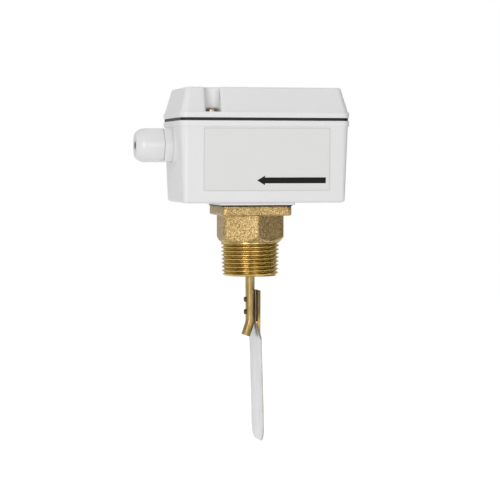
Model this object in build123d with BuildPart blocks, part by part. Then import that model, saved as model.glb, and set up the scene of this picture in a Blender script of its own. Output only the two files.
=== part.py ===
# Paddle flow switch for a pipe: a brass screw-in fitting with a swinging paddle arm,
# under a moulded enclosure that holds the lever, the range spring and the snap switch.
#
# Millimetres, +Z up. The origin is on the pipe thread's axis, at the shoulder where the
# thread meets the hexagon. +X runs along the enclosure, away from the cable gland, and
# the flow pushes the paddle towards -X.

from build123d import *
import os
from math import cos, radians, tan

os.makedirs("parts", exist_ok=True)

# Clearances
running = 0.05  # radial, of a shaft that turns or slides in its bore
slip = 0.1  # radial or per side, of pieces that drop together
touch = 0.02  # between pieces that are fixed against each other on a curve
clear = 0.3  # between pieces that move past each other

# Brass fitting
thread_radius = 16.7  # crests of the one inch taper pipe thread at its large end
thread_length = 19.4
thread_lead_in = 1.2
hex_flats = 35.1
hex_height = 15.1
hex_chamfer = 4.2
hex_seat = 0.4  # the turned shoulder's width past the thread
flange_margin = 5.35  # past the screws' centres
flange_corner = 2.0
flange_thickness = 5.4
flange_edge = 0.6
bore_radius = 10.5
bore_lead_in = 0.8
web_thickness = 3.0
web_hole_radius = 5.0
flange_gasket_thickness = 0.7
flange_gasket_margin = 0.5
flange_gasket_hole_radius = 11.0

# Screws that hold the frame and the enclosure down on the flange
frame_screw_pitch = 29.0
frame_screw_radius = 2.0
frame_screw_head_radius = 3.75
frame_screw_head_height = 2.4
frame_screw_engagement = 4.0

# Enclosure
case_length = 97.3
case_depth = 58.0
case_offset = 2.95  # enclosure centre from the thread axis
case_corner = 5.0
pad_margin = 1.8  # past the flange
pad_corner = 2.2
pad_height = 1.3
base_height = 45.8
base_draft = 2.3
base_bottom_round = 2.0
wall = 2.6
floor = 3.0
floor_hole_radius = 7.5
inner_floor_round = 1.2
rim_step = 0.7
rim_height = 3.2
rim_edge = 0.35
lid_height = 17.0
lid_taper = 15.5
lid_wall = 2.5
lid_top_corner = 2.8
lid_top_round = 1.5
lid_inner_corner = 2.0
lip_depth = 3.0
lip_thickness = 1.4
lid_gasket_thickness = 1.6
lid_gasket_setback = 0.6
gasket_lobe = 0.8  # gasket around a lid screw, past its pillar

# Lid screws, one near each end, on opposite sides
lid_screw_end_inset = 18.9
lid_screw_side_inset = 6.0
lid_screw_radius = 2.0
lid_screw_head_radius = 3.4
lid_screw_head_height = 2.8
lid_screw_engagement = 11.0
screw_pocket_radius = 4.25
screw_pocket_wall = 2.0
screw_pocket_sink = 0.4  # pocket floor below the top of the rim band
screw_pocket_edge = 1.6
pillar_radius = 3.8

# Blank rating label on the front wall
label_length = 72.6
label_height = 35.6
label_corner = 1.5
label_thickness = 0.15
label_along = 0.75  # label centre from the enclosure's centre
label_up = 24.3

# Cable gland, on the end wall at -X
gland_height = 32.2  # its axis above the enclosure's underside
gland_boss_radius = 11.3
gland_boss_height = 1.0
gland_inner_boss_height = 0.8
gland_thread_radius = 8.0
gland_thread_inside = 7.0
gland_washer_radius = 10.0
gland_washer_thickness = 0.4
gland_hex_flats = 18.5
gland_hex_length = 4.6
gland_turn = 4.0
gland_bore_radius = 5.3
cap_thread_radius = 7.6
cap_thread_length = 9.2
cap_gap = 0.2
cap_length = 15.5
cap_flats = 18.7
cap_radius = 9.9
cap_dome_length = 6.4
cap_nose_radius = 7.0
cap_end_wall = 1.8
seal_radius = 6.0
seal_length = 11.0
cable_hole_radius = 2.4
thrust_ring_thickness = 0.7
locknut_flats = 20.0
locknut_thickness = 4.0

# Paddle arm
swing_limit = 6.0
pivot_height = 33.0
rod_radius = 2.65
rod_flat_thickness = 4.8
rod_flat_top = 27.0  # below the shoulder
rod_bend_depth = 46.1
rod_end_depth = 53.8
rod_lean = 2.6  # how far the rod's end stands off the paddle
rod_bend_radius = 12.0
spigot_radius = 2.0
spigot_length = 2.4
collar_radius = 4.4
collar_thickness = 1.5
collar_bottom = 2.5
paddle_width = 28.0
paddle_thickness = 1.0
paddle_tab_width = 10.0
paddle_shoulder_top = 47.0
paddle_shoulder_bottom = 54.5
paddle_shoulder_round = 3.0
paddle_tip = 113.9
paddle_tip_corner = 8.0
paddle_bend_top = 47.6
paddle_bow = 1.1  # how far its middle is set off the straight
paddle_set = 1.7  # and its tip
clamp_top = 27.9
clamp_width = 10.0
clamp_thickness = 1.7
clamp_edge = 0.4
clamp_relief_top = 44.5
clamp_relief = 0.95
paddle_screw_depths = (33.2, 40.3)
paddle_screw_radius = 1.5
paddle_screw_head_radius = 2.7
paddle_screw_head_height = 1.0
paddle_screw_tail = 1.1

# Bellows that seals the arm
bellows_inner_radius = 4.6
bellows_outer_radius = 6.8
bellows_wall = 0.35
bellows_folds = 4

# Hub and lever
hub_length = 10.0
hub_clearance = 0.8  # above the frame
hub_height = 13.2
hub_top_length = 18.0
hub_top_height = 4.0
lever_left = 30.0
lever_overhang = 7.0  # past the switch's plunger
lever_width = 9.0
lever_thickness = 2.0
lever_corner = 2.0
lever_screw_spacing = 11.0
lever_screw_radius = 1.5
lever_screw_head_radius = 2.6
lever_screw_head_height = 1.8
lever_screw_engagement = 3.4
pivot_pin_radius = 1.5
clip_radius = 3.2
clip_thickness = 0.6
clip_opening = 2.4
clip_groove_depth = 0.4
pin_end = 0.6  # pin past its clip

# Pressed steel frame
sheet = 1.5
frame_end_margin = 6.5  # past the screws' centres
frame_side_margin = 4.5
frame_corner = 3.0
frame_hole_radius = 8.0
ear_gap = 12.4
front_ear_width = 14.0
front_ear_height = 12.0
front_ear_corner = 4.0
back_plate_left = 25.0
back_plate_overhang = 1.0  # of the switch, past its end
back_plate_height = 36.5
back_plate_corner = 2.0
gusset_bottom = 8.0
gusset_top = 18.0
top_flange_length = 15.0
top_flange_depth = 14.0
stop_width = 5.0
stop_clearance = 0.1
travel_stop_clearance = 0.15
earth_tab_length = 14.0
earth_tab_width = 11.0
earth_tab_rise = 4.5

# Range spring, its nut and its screw
spring_along = 18.0
spring_radius = 4.0  # of the wire's centre line
spring_wire = 0.9
spring_turns = 4
seat_radius = 5.0
seat_thickness = 1.2
seat_pilot_radius = 3.2
seat_pilot_height = 1.6
seat_peg_radius = 1.5
nut_width = 11.0
nut_height = 5.0
nut_above_lever = 11.0
range_screw_radius = 2.0
range_screw_tail = 2.5  # below the nut at mid range
range_head_radius = 4.2
range_head_height = 4.6
range_head_grooves = 12
range_groove_radius = 0.5

# Snap-action switch
switch_end_gap = 8.3  # from the enclosure's end
switch_length = 34.0
switch_depth = 16.0
switch_height = 20.0
switch_above_lever = 4.0
switch_edge = 0.6
plunger_inset = 11.0
plunger_radius = 1.5
plunger_gap = 0.2
plunger_length = 8.0
plunger_head_radius = 2.4
plunger_head_thickness = 1.2
plunger_travel = 1.6
plunger_headroom = 2.8
guide_radius = 4.0
guide_height = 2.0
switch_screw_inset = 5.0
switch_screw_height = 5.0
switch_screw_radius = 1.5
switch_screw_head_radius = 2.75
switch_screw_head_height = 2.0
switch_nut_flats = 5.5
switch_nut_thickness = 2.4
terminal_pitch = 11.0
terminal_width = 8.0
terminal_depth = 11.0
terminal_thickness = 0.9
terminal_screw_radius = 1.75
terminal_head_radius = 3.2
terminal_head_height = 2.1
terminal_screw_length = 6.0
barrier_thickness = 1.2
barrier_height = 3.6
earth_screw_radius = 2.0
earth_screw_length = 4.2
earth_head_radius = 3.5
earth_head_height = 2.3
earth_clamp_width = 9.0
earth_clamp_thickness = 1.0
earth_clamp_cheek = 2.0

# Screw details
screw_slot_width = 1.0
screw_slot_depth = 1.0
screw_head_edge = 0.6
screw_point = 0.4

# Levels that follow from the stack of pieces
flange_top = hex_height + flange_thickness
web_bottom = flange_top - web_thickness
pad_bottom = flange_top + flange_gasket_thickness
case_bottom = pad_bottom + pad_height
floor_top = case_bottom + floor
base_top = case_bottom + base_height
rim_bottom = base_top - rim_height
lid_bottom = base_top + lid_gasket_thickness
lid_shoulder = lid_bottom + rim_height
lid_top = lid_bottom + lid_height
pocket_floor = lid_shoulder - screw_pocket_sink
frame_top = floor_top + sheet
hub_bottom = frame_top + hub_clearance
lever_bottom = hub_bottom + hub_height
lever_top = lever_bottom + lever_thickness
switch_bottom = lever_top + switch_above_lever
switch_top = switch_bottom + switch_height
seat_top = lever_top + seat_thickness
nut_bottom = lever_top + nut_above_lever
top_flange_top = frame_top + back_plate_height
top_flange_bottom = top_flange_top - sheet

# Widths that follow from the pieces they carry
flange_width = frame_screw_pitch + 2 * flange_margin
pad_width = flange_width + 2 * pad_margin
frame_length = frame_screw_pitch + 2 * frame_end_margin
frame_depth = frame_screw_pitch + 2 * frame_side_margin

# Outlines that the enclosure's pieces share
body_length = case_length - 2 * rim_step
body_depth = case_depth - 2 * rim_step
body_corner = case_corner - rim_step
draft_rate = tan(radians(base_draft))
cavity_length = body_length + 2 * rim_height * draft_rate - 2 * wall
cavity_depth = body_depth + 2 * rim_height * draft_rate - 2 * wall
cavity_corner = case_corner - wall
lid_lean = (lid_top - lid_shoulder) * tan(radians(lid_taper))
lip_inset = clear + lip_thickness
roof_lean = (lid_top - lid_wall - lid_shoulder) * tan(radians(lid_taper)) + lid_wall
lid_screw_along = case_length / 2 - lid_screw_end_inset
lid_screw_across = case_depth / 2 - lid_screw_side_inset
lid_screw_spots = [(-lid_screw_along, -lid_screw_across), (lid_screw_along, lid_screw_across)]

# The drafted end wall and front wall at the heights where pieces sit on them
gland_z = case_bottom + gland_height
end_wall_x = case_offset - body_length / 2 + (rim_bottom - gland_z) * draft_rate
gland_seat_x = end_wall_x - gland_boss_height
inner_boss_x = end_wall_x + wall + gland_inner_boss_height
gland_shank_x = inner_boss_x + gland_thread_inside
gland_hex_x = gland_seat_x - gland_washer_thickness
gland_stub_x = gland_hex_x - gland_hex_length
gland_mouth_x = gland_stub_x - cap_thread_length
cap_start_x = gland_stub_x - cap_gap
cap_end_x = cap_start_x - cap_length
thrust_ring_x = cap_end_x + cap_end_wall + running
seal_x = thrust_ring_x + thrust_ring_thickness
label_z = case_bottom + label_up
front_wall_y = -body_depth / 2 + (rim_bottom - label_z) * draft_rate

# Places inside the enclosure
paddle_face_x = rod_flat_thickness / 2
clamp_inner_x = paddle_face_x + paddle_thickness
clamp_outer_x = clamp_inner_x + clamp_thickness
hub_width = ear_gap - 2 * clear
ear_outside = ear_gap / 2 + sheet
clip_y = ear_outside + slip
pin_half_length = clip_y + clip_thickness + pin_end
switch_y = ear_gap / 2 - switch_depth / 2
switch_left = case_offset + case_length / 2 - switch_end_gap - switch_length
switch_x = switch_left + switch_length / 2
back_plate_right = switch_left + switch_length - back_plate_overhang
plunger_along = switch_left + plunger_inset
lever_right = plunger_along + lever_overhang
switch_screw_z = switch_bottom + switch_screw_height
plunger_bottom = lever_top + plunger_gap
plunger_top = plunger_bottom + plunger_length
plunger_shoulder = plunger_top - plunger_head_thickness
well_bottom = plunger_shoulder - plunger_travel - clear
spring_x = -spring_along
nut_back_y = ear_gap / 2 - slip
earth_x = frame_length / 2 + earth_tab_length / 2
earth_y = -frame_depth / 2 + earth_tab_width / 2
earth_z = floor_top + earth_tab_rise + sheet
range_clip_z = top_flange_bottom - slip - clip_thickness


def case_plane(height):
    """A level plane centred on the enclosure."""
    return Plane((case_offset, 0, height))


def gland_plane(x):
    """A plane across the gland's axis at x, facing out of the enclosure."""
    return Plane((x, 0, gland_z), x_dir=(0, 1, 0), z_dir=(-1, 0, 0))


def front_plane(y, z=0):
    """An upright plane at y facing -Y, its own origin at the height z."""
    return Plane((0, y, z), x_dir=(1, 0, 0), z_dir=(0, -1, 0))


def screw(radius, length, head_radius, head_height):
    """A slotted pan head screw along Z, its head resting on the XY plane."""
    with BuildPart() as piece:
        with BuildSketch():
            Circle(head_radius)
        extrude(amount=head_height)
        fillet(piece.faces().sort_by(Axis.Z)[-1].edges(), radius=screw_head_edge)
        with BuildSketch(Plane.XY.offset(head_height)):
            Rectangle(2 * head_radius, screw_slot_width)
        extrude(amount=-screw_slot_depth, mode=Mode.SUBTRACT)
        with BuildSketch():
            Circle(radius)
        extrude(amount=-length)
        chamfer(piece.faces().sort_by(Axis.Z)[0].edges(), length=screw_point)
    return piece.part


def clip(groove_radius):
    """A spring clip in the XY plane, open towards -Y."""
    with BuildPart() as piece:
        with BuildSketch():
            Circle(clip_radius)
            Circle(groove_radius + touch, mode=Mode.SUBTRACT)
            with Locations((0, -clip_radius / 2)):
                Rectangle(clip_opening, clip_radius, mode=Mode.SUBTRACT)
        extrude(amount=clip_thickness)
    return piece.part


def save(part, name):
    """Labels a finished piece and writes its file."""
    part.label = name
    export_step(part, f"parts/{name}.step")


# Brass fitting: square flange, hexagon and threaded stub, with the arm's bore
with BuildPart() as brass_body:
    with BuildSketch(Plane.XY.offset(hex_height)):
        RectangleRounded(flange_width, flange_width, flange_corner)
    extrude(amount=flange_thickness)
    chamfer(brass_body.faces().sort_by(Axis.Z)[0].edges(), length=flange_edge)
    with BuildSketch():
        RegularPolygon(hex_flats / 2, 6, major_radius=False, rotation=30)
    extrude(amount=hex_height)
    with BuildSketch(Plane.XZ):
        with BuildLine():
            Polyline(
                (thread_radius + hex_seat, 0),
                (thread_radius + hex_seat + hex_chamfer, 0),
                (thread_radius + hex_seat + hex_chamfer, hex_chamfer),
                close=True,
            )
        make_face()
    revolve(axis=Axis.Z, mode=Mode.SUBTRACT)
    with BuildSketch(Plane.XY.offset(-thread_length)):
        Circle(thread_radius)
    extrude(amount=thread_length)
    chamfer(brass_body.faces().sort_by(Axis.Z)[0].edges(), length=thread_lead_in)
    with BuildSketch(Plane.XY.offset(-thread_length)):
        Circle(bore_radius)
    extrude(amount=thread_length + web_bottom, mode=Mode.SUBTRACT)
    mouth = brass_body.faces().sort_by(Axis.Z)[0].edges().sort_by(SortBy.LENGTH)[0]
    chamfer(mouth, length=bore_lead_in)
    with Locations((0, 0, flange_top)):
        Hole(web_hole_radius)
        with GridLocations(frame_screw_pitch, frame_screw_pitch, 2, 2):
            Hole(frame_screw_radius + slip, depth=frame_screw_engagement + slip)
save(brass_body.part, "brass_body")

# Gasket between the flange and the enclosure's pad
with BuildPart() as flange_gasket:
    with BuildSketch(Plane.XY.offset(flange_top)):
        gasket_width = flange_width + 2 * flange_gasket_margin
        RectangleRounded(gasket_width, gasket_width, flange_corner + flange_gasket_margin)
        Circle(flange_gasket_hole_radius, mode=Mode.SUBTRACT)
        with GridLocations(frame_screw_pitch, frame_screw_pitch, 2, 2):
            Circle(frame_screw_radius + slip, mode=Mode.SUBTRACT)
    extrude(amount=flange_gasket_thickness)
save(flange_gasket.part, "flange_gasket")

# Outside of the enclosure's base, which also trims the pillars inside it
with BuildPart() as base_envelope:
    with BuildSketch(case_plane(rim_bottom)):
        RectangleRounded(case_length, case_depth, case_corner)
    extrude(amount=rim_height)
    fillet(base_envelope.faces().filter_by(Axis.Z).edges(), radius=rim_edge)
    with BuildSketch(case_plane(rim_bottom + rim_height / 2)):
        RectangleRounded(
            body_length + rim_height * draft_rate, body_depth + rim_height * draft_rate, body_corner
        )
    extrude(amount=-(rim_bottom + rim_height / 2 - case_bottom), taper=base_draft)
    fillet(base_envelope.faces().sort_by(Axis.Z)[0].edges(), radius=base_bottom_round)

# Space inside the base, its floor edge rounded
with BuildPart() as base_space:
    with BuildSketch(case_plane(base_top)):
        RectangleRounded(cavity_length, cavity_depth, cavity_corner)
    extrude(amount=-(base_top - floor_top), taper=base_draft)
    fillet(base_space.faces().sort_by(Axis.Z)[0].edges(), radius=inner_floor_round)

# Base of the enclosure: drafted tub with a rim band, screw pillars, flange pad and gland boss
with BuildPart() as housing_base:
    add(base_envelope.part)
    add(base_space.part, mode=Mode.SUBTRACT)
    with BuildSketch(case_plane(case_bottom)):
        with Locations(lid_screw_spots):
            Circle(pillar_radius)
    extrude(amount=base_height)
    add(base_envelope.part, mode=Mode.INTERSECT)
    with BuildSketch(gland_plane(gland_seat_x)):
        Circle(gland_boss_radius)
    extrude(amount=gland_seat_x - inner_boss_x)
    with BuildSketch(Plane.XY.offset(pad_bottom)):
        RectangleRounded(pad_width, pad_width, pad_corner)
    extrude(amount=pad_height + floor / 2)
    with Locations((0, 0, floor_top)):
        Hole(floor_hole_radius, depth=floor + pad_height)
        with GridLocations(frame_screw_pitch, frame_screw_pitch, 2, 2):
            Hole(frame_screw_radius + slip, depth=floor + pad_height)
    with Locations(gland_plane(gland_seat_x)):
        Hole(gland_thread_radius + slip, depth=inner_boss_x - gland_seat_x)
    with Locations(case_plane(base_top)):
        with Locations(lid_screw_spots):
            Hole(lid_screw_radius + slip, depth=lid_screw_engagement + slip)
save(housing_base.part, "housing_base")

# Gasket between the base and the lid, with a lobe round each lid screw
with BuildPart() as lid_gasket:
    with BuildSketch(case_plane(base_top)):
        RectangleRounded(
            case_length - 2 * lid_gasket_setback,
            case_depth - 2 * lid_gasket_setback,
            case_corner - lid_gasket_setback,
        )
        RectangleRounded(cavity_length, cavity_depth, cavity_corner, mode=Mode.SUBTRACT)
        with Locations(lid_screw_spots):
            Circle(pillar_radius + gasket_lobe)
        with Locations(lid_screw_spots):
            Circle(lid_screw_radius + slip, mode=Mode.SUBTRACT)
    extrude(amount=lid_gasket_thickness)
save(lid_gasket.part, "lid_gasket")

# Outside of the lid: rim band and tapered hood
with BuildPart() as lid_envelope:
    with BuildSketch(case_plane(lid_bottom)):
        RectangleRounded(case_length, case_depth, case_corner)
    extrude(amount=rim_height)
    fillet(lid_envelope.faces().filter_by(Axis.Z).edges(), radius=rim_edge)
    with BuildSketch(case_plane(lid_shoulder)):
        RectangleRounded(body_length, body_depth, body_corner)
    with BuildSketch(case_plane(lid_top)):
        RectangleRounded(body_length - 2 * lid_lean, body_depth - 2 * lid_lean, lid_top_corner)
    loft(ruled=True)
    fillet(lid_envelope.faces().sort_by(Axis.Z)[-1].edges(), radius=lid_top_round)

# Lid: the hood hollowed out, with a locating lip and an open pocket for each screw
with BuildPart() as housing_lid:
    add(lid_envelope.part)
    with BuildSketch(case_plane(lid_bottom)):
        RectangleRounded(
            cavity_length - 2 * lip_inset, cavity_depth - 2 * lip_inset, lid_inner_corner
        )
    with BuildSketch(case_plane(lid_top - lid_wall)):
        RectangleRounded(
            body_length - 2 * roof_lean, body_depth - 2 * roof_lean, lid_inner_corner
        )
    loft(ruled=True, mode=Mode.SUBTRACT)
    with BuildSketch(case_plane(lid_bottom)):
        with Locations(lid_screw_spots):
            Circle(screw_pocket_radius + screw_pocket_wall)
    extrude(amount=lid_height)
    add(lid_envelope.part, mode=Mode.INTERSECT)
    with BuildSketch(case_plane(pocket_floor)):
        with Locations(lid_screw_spots):
            Circle(screw_pocket_radius)
    extrude(amount=lid_height, mode=Mode.SUBTRACT)
    with BuildSketch(case_plane(lid_shoulder)):
        for along, across in lid_screw_spots:
            side = 1 if across > 0 else -1
            with Locations((along, across + side * lid_screw_side_inset / 2)):
                Rectangle(2 * screw_pocket_radius, lid_screw_side_inset)
    extrude(amount=lid_height, mode=Mode.SUBTRACT)
    pocket_edges = [
        edge
        for edge in housing_lid.edges().filter_by(GeomType.LINE)
        for along, across in lid_screw_spots
        if abs(abs(edge.center().X - case_offset - along) - screw_pocket_radius) < touch
        and abs(edge.center().Y) > abs(across)
        and edge.bounding_box().size.Z > lid_wall
    ]
    fillet(pocket_edges, radius=screw_pocket_edge)
    with Locations(case_plane(pocket_floor)):
        with Locations(lid_screw_spots):
            Hole(lid_screw_radius + slip, depth=pocket_floor - lid_bottom)
    with BuildSketch(case_plane(lid_bottom)):
        RectangleRounded(cavity_length - 2 * clear, cavity_depth - 2 * clear, cavity_corner - clear)
        RectangleRounded(
            cavity_length - 2 * lip_inset,
            cavity_depth - 2 * lip_inset,
            lid_inner_corner,
            mode=Mode.SUBTRACT,
        )
        with Locations(lid_screw_spots):
            Circle(pillar_radius + gasket_lobe + clear, mode=Mode.SUBTRACT)
    extrude(amount=-lip_depth)
save(housing_lid.part, "housing_lid")

# Lid screws, one file each because each turns by itself
lid_screw = screw(
    lid_screw_radius,
    pocket_floor - base_top + lid_screw_engagement,
    lid_screw_head_radius,
    lid_screw_head_height,
)
for name, spot in zip(("lid_screw_front", "lid_screw_rear"), lid_screw_spots):
    with BuildPart() as one_lid_screw:
        with Locations(case_plane(pocket_floor)):
            with Locations(spot):
                add(lid_screw)
    save(one_lid_screw.part, name)

# Blank rating label, stuck on the drafted front wall
tilt = radians(base_draft)
label_plane = Plane(
    (case_offset + label_along, front_wall_y - touch, label_z),
    x_dir=(1, 0, 0),
    z_dir=(0, -cos(tilt), -cos(tilt) * draft_rate),
)
with BuildPart() as rating_label:
    with BuildSketch(label_plane):
        RectangleRounded(label_length, label_height, label_corner)
    extrude(amount=label_thickness)
save(rating_label.part, "rating_label")

# Gland body: threaded shank through the wall, hexagon, and the stub that holds the seal
with BuildPart() as gland_body:
    with BuildSketch(gland_plane(gland_shank_x)):
        Circle(gland_thread_radius)
    extrude(amount=gland_shank_x - gland_hex_x)
    with BuildSketch(gland_plane(gland_hex_x)):
        RegularPolygon(gland_hex_flats / 2, 6, major_radius=False, rotation=gland_turn)
    extrude(amount=gland_hex_length)
    with BuildSketch(gland_plane(gland_stub_x)):
        Circle(cap_thread_radius)
    extrude(amount=cap_thread_length)
    with Locations(gland_plane(gland_mouth_x)):
        CounterBoreHole(
            radius=gland_bore_radius,
            counter_bore_radius=seal_radius + touch,
            counter_bore_depth=seal_x + seal_length - gland_mouth_x,
        )
save(gland_body.part, "gland_body")

# Washer between the gland's hexagon and the wall
with BuildPart() as gland_washer:
    with BuildSketch(gland_plane(gland_seat_x)):
        Circle(gland_washer_radius)
        Circle(gland_thread_radius + touch, mode=Mode.SUBTRACT)
    extrude(amount=gland_washer_thickness)
save(gland_washer.part, "gland_washer")

# Locknut inside the wall
with BuildPart() as gland_locknut:
    with BuildSketch(gland_plane(inner_boss_x)):
        RegularPolygon(locknut_flats / 2, 6, major_radius=False)
        Circle(gland_thread_radius + touch, mode=Mode.SUBTRACT)
    extrude(amount=-locknut_thickness)
save(gland_locknut.part, "gland_locknut")

# Rubber seal with the cable's hole
with BuildPart() as gland_seal:
    with BuildSketch(gland_plane(seal_x)):
        Circle(seal_radius)
        Circle(cable_hole_radius, mode=Mode.SUBTRACT)
    extrude(amount=-seal_length)
save(gland_seal.part, "gland_seal")

# Ring that keeps the turning cap off the seal
with BuildPart() as gland_thrust_ring:
    with BuildSketch(gland_plane(thrust_ring_x)):
        Circle(seal_radius)
        Circle(cable_hole_radius, mode=Mode.SUBTRACT)
    extrude(amount=-thrust_ring_thickness)
save(gland_thrust_ring.part, "gland_thrust_ring")

# Cap nut: domed, with flats, turned out for the stub and the seal's head
with BuildPart() as gland_cap_nut:
    with BuildSketch(Plane((0, 0, gland_z), x_dir=(1, 0, 0), z_dir=(0, -1, 0))):
        with BuildLine():
            Polyline(
                (cap_end_x, cap_nose_radius),
                (cap_end_x, cable_hole_radius),
                (cap_end_x + cap_end_wall, cable_hole_radius),
                (cap_end_x + cap_end_wall, seal_radius + clear),
                (gland_mouth_x - clear, seal_radius + clear),
                (gland_mouth_x - clear, cap_thread_radius + running),
                (cap_start_x, cap_thread_radius + running),
                (cap_start_x, cap_radius),
                (cap_end_x + cap_dome_length, cap_radius),
            )
            TangentArc(
                (cap_end_x + cap_dome_length, cap_radius),
                (cap_end_x, cap_nose_radius),
                tangent=(-1, 0),
            )
        make_face()
    revolve(axis=Axis((0, 0, gland_z), (1, 0, 0)))
    with BuildSketch(gland_plane(cap_start_x)):
        RegularPolygon(cap_flats / 2, 6, major_radius=False, rotation=gland_turn)
    extrude(amount=cap_length, mode=Mode.INTERSECT)
save(gland_cap_nut.part, "gland_cap_nut")

# Rod: sealed by its collar, flattened below for the paddle, its end bent clear of it
with BuildPart() as paddle_rod:
    with BuildSketch(Plane.XY.offset(-rod_flat_top)):
        Circle(rod_radius)
    extrude(amount=rod_flat_top + hub_bottom)
    with BuildSketch(Plane.XY.offset(hub_bottom)):
        Circle(spigot_radius)
    extrude(amount=spigot_length)
    with BuildSketch(Plane.XY.offset(collar_bottom)):
        Circle(collar_radius)
    extrude(amount=collar_thickness)
    with BuildLine(Plane.XZ) as rod_line:
        FilletPolyline(
            (0, -rod_flat_top),
            (0, -rod_bend_depth),
            (-rod_lean, -rod_end_depth),
            radius=rod_bend_radius,
        )
    with BuildSketch(Plane.XY.offset(-rod_flat_top)):
        Circle(rod_radius)
        Rectangle(rod_flat_thickness, 2 * rod_radius, mode=Mode.INTERSECT)
    sweep(path=rod_line.wire())
    with BuildSketch(Plane.YZ):
        with Locations(*[(0, -depth) for depth in paddle_screw_depths]):
            Circle(paddle_screw_radius)
    extrude(amount=rod_radius, both=True, mode=Mode.SUBTRACT)
save(paddle_rod.part, "paddle_rod")

# Paddle: a bowed strip, narrow where it is clamped and round at the tip
with BuildPart() as paddle:
    with BuildSketch(Plane.XZ):
        with BuildLine():
            for x in (paddle_face_x, paddle_face_x + paddle_thickness):
                Line((x, -clamp_top), (x, -paddle_bend_top))
                ThreePointArc(
                    (x, -paddle_bend_top),
                    (x + paddle_bow, -(paddle_bend_top + paddle_tip) / 2),
                    (x + paddle_set, -paddle_tip),
                )
            Line((paddle_face_x, -clamp_top), (paddle_face_x + paddle_thickness, -clamp_top))
            Line(
                (paddle_face_x + paddle_set, -paddle_tip),
                (paddle_face_x + paddle_set + paddle_thickness, -paddle_tip),
            )
        make_face()
    extrude(amount=paddle_width / 2, both=True)
    with BuildSketch(Plane.YZ) as paddle_outline:
        with BuildLine():
            Polyline(
                (-paddle_tab_width / 2, -clamp_top),
                (paddle_tab_width / 2, -clamp_top),
                (paddle_tab_width / 2, -paddle_shoulder_top),
                (paddle_width / 2, -paddle_shoulder_bottom),
                (paddle_width / 2, -paddle_tip),
                (-paddle_width / 2, -paddle_tip),
                (-paddle_width / 2, -paddle_shoulder_bottom),
                (-paddle_tab_width / 2, -paddle_shoulder_top),
                close=True,
            )
        make_face()
        fillet(paddle_outline.vertices().group_by(Axis.Y)[0], radius=paddle_tip_corner)
        shoulders = paddle_outline.vertices().filter_by_position(
            Axis.Y, -paddle_shoulder_bottom - touch, -paddle_shoulder_top + touch
        )
        fillet(shoulders, radius=paddle_shoulder_round)
    extrude(amount=clamp_outer_x + paddle_set, mode=Mode.INTERSECT)
    with BuildSketch(Plane.YZ):
        with Locations(*[(0, -depth) for depth in paddle_screw_depths]):
            Circle(paddle_screw_radius + slip)
    extrude(amount=clamp_outer_x, mode=Mode.SUBTRACT)
save(paddle.part, "paddle")

# Clamp bar: its inner face curves away below, so that the paddle bends over it
with BuildPart() as clamp_bar:
    with BuildSketch(Plane.XZ):
        with BuildLine():
            Polyline(
                (clamp_inner_x, -clamp_relief_top),
                (clamp_inner_x, -clamp_top),
                (clamp_outer_x, -clamp_top),
                (clamp_outer_x, -rod_end_depth),
                (clamp_inner_x + clamp_relief, -rod_end_depth),
            )
            TangentArc(
                (clamp_inner_x, -clamp_relief_top),
                (clamp_inner_x + clamp_relief, -rod_end_depth),
                tangent=(0, -1),
            )
        make_face()
    extrude(amount=clamp_width / 2, both=True)
    fillet(clamp_bar.faces().sort_by(Axis.X)[-1].edges(), radius=clamp_edge)
    for depth in paddle_screw_depths:
        with Locations(Plane((clamp_outer_x, 0, -depth), z_dir=(1, 0, 0))):
            CounterSinkHole(
                radius=paddle_screw_radius + slip,
                counter_sink_radius=paddle_screw_head_radius + slip,
                depth=clamp_thickness,
                counter_sink_angle=90,
            )
save(clamp_bar.part, "clamp_bar")

# Countersunk screws through the clamp and the paddle into the rod
paddle_screw_length = clamp_outer_x + rod_flat_thickness / 2 + paddle_screw_tail
with BuildPart() as paddle_screw:
    with BuildSketch(Plane.XZ):
        with BuildLine():
            Polyline(
                (0, 0),
                (paddle_screw_head_radius, 0),
                (paddle_screw_radius, paddle_screw_radius - paddle_screw_head_radius),
                (paddle_screw_radius, screw_point - paddle_screw_length),
                (paddle_screw_radius - screw_point, -paddle_screw_length),
                (0, -paddle_screw_length),
                close=True,
            )
        make_face()
    revolve(axis=Axis.Z)
    with BuildSketch():
        Rectangle(2 * paddle_screw_head_radius, screw_slot_width)
    extrude(amount=-paddle_screw_head_height / 2, mode=Mode.SUBTRACT)
with BuildPart() as paddle_screws:
    for depth in paddle_screw_depths:
        with Locations(Plane((clamp_outer_x, 0, -depth), z_dir=(1, 0, 0))):
            add(paddle_screw.part)
save(paddle_screws.part, "paddle_screws")

# Bellows: folded tube brazed on the rod's collar, its mouth under the fitting's web
collar_top = collar_bottom + collar_thickness
fold_rise = (web_bottom - running - bellows_wall - collar_top) / (2 * bellows_folds)
fold_points = [(bellows_inner_radius, collar_top)]
for step in range(1, 2 * bellows_folds + 1):
    radius = bellows_outer_radius - bellows_wall if step % 2 else bellows_inner_radius
    fold_points.append((radius, collar_top + step * fold_rise))
mouth_z = fold_points[-1][1]
with BuildPart() as bellows:
    with BuildSketch(Plane.XZ):
        with BuildLine():
            Polyline(
                (collar_radius + touch, collar_bottom),
                (collar_radius + touch, collar_top),
                *fold_points,
                (bellows_inner_radius, mouth_z + bellows_wall),
                (bellows_outer_radius, mouth_z + bellows_wall),
                (bellows_outer_radius, mouth_z),
                *[(r + bellows_wall, z) for r, z in reversed(fold_points)],
                (bellows_inner_radius + bellows_wall, collar_bottom),
                close=True,
            )
        make_face()
    revolve(axis=Axis.Z)
save(bellows.part, "bellows")

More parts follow.
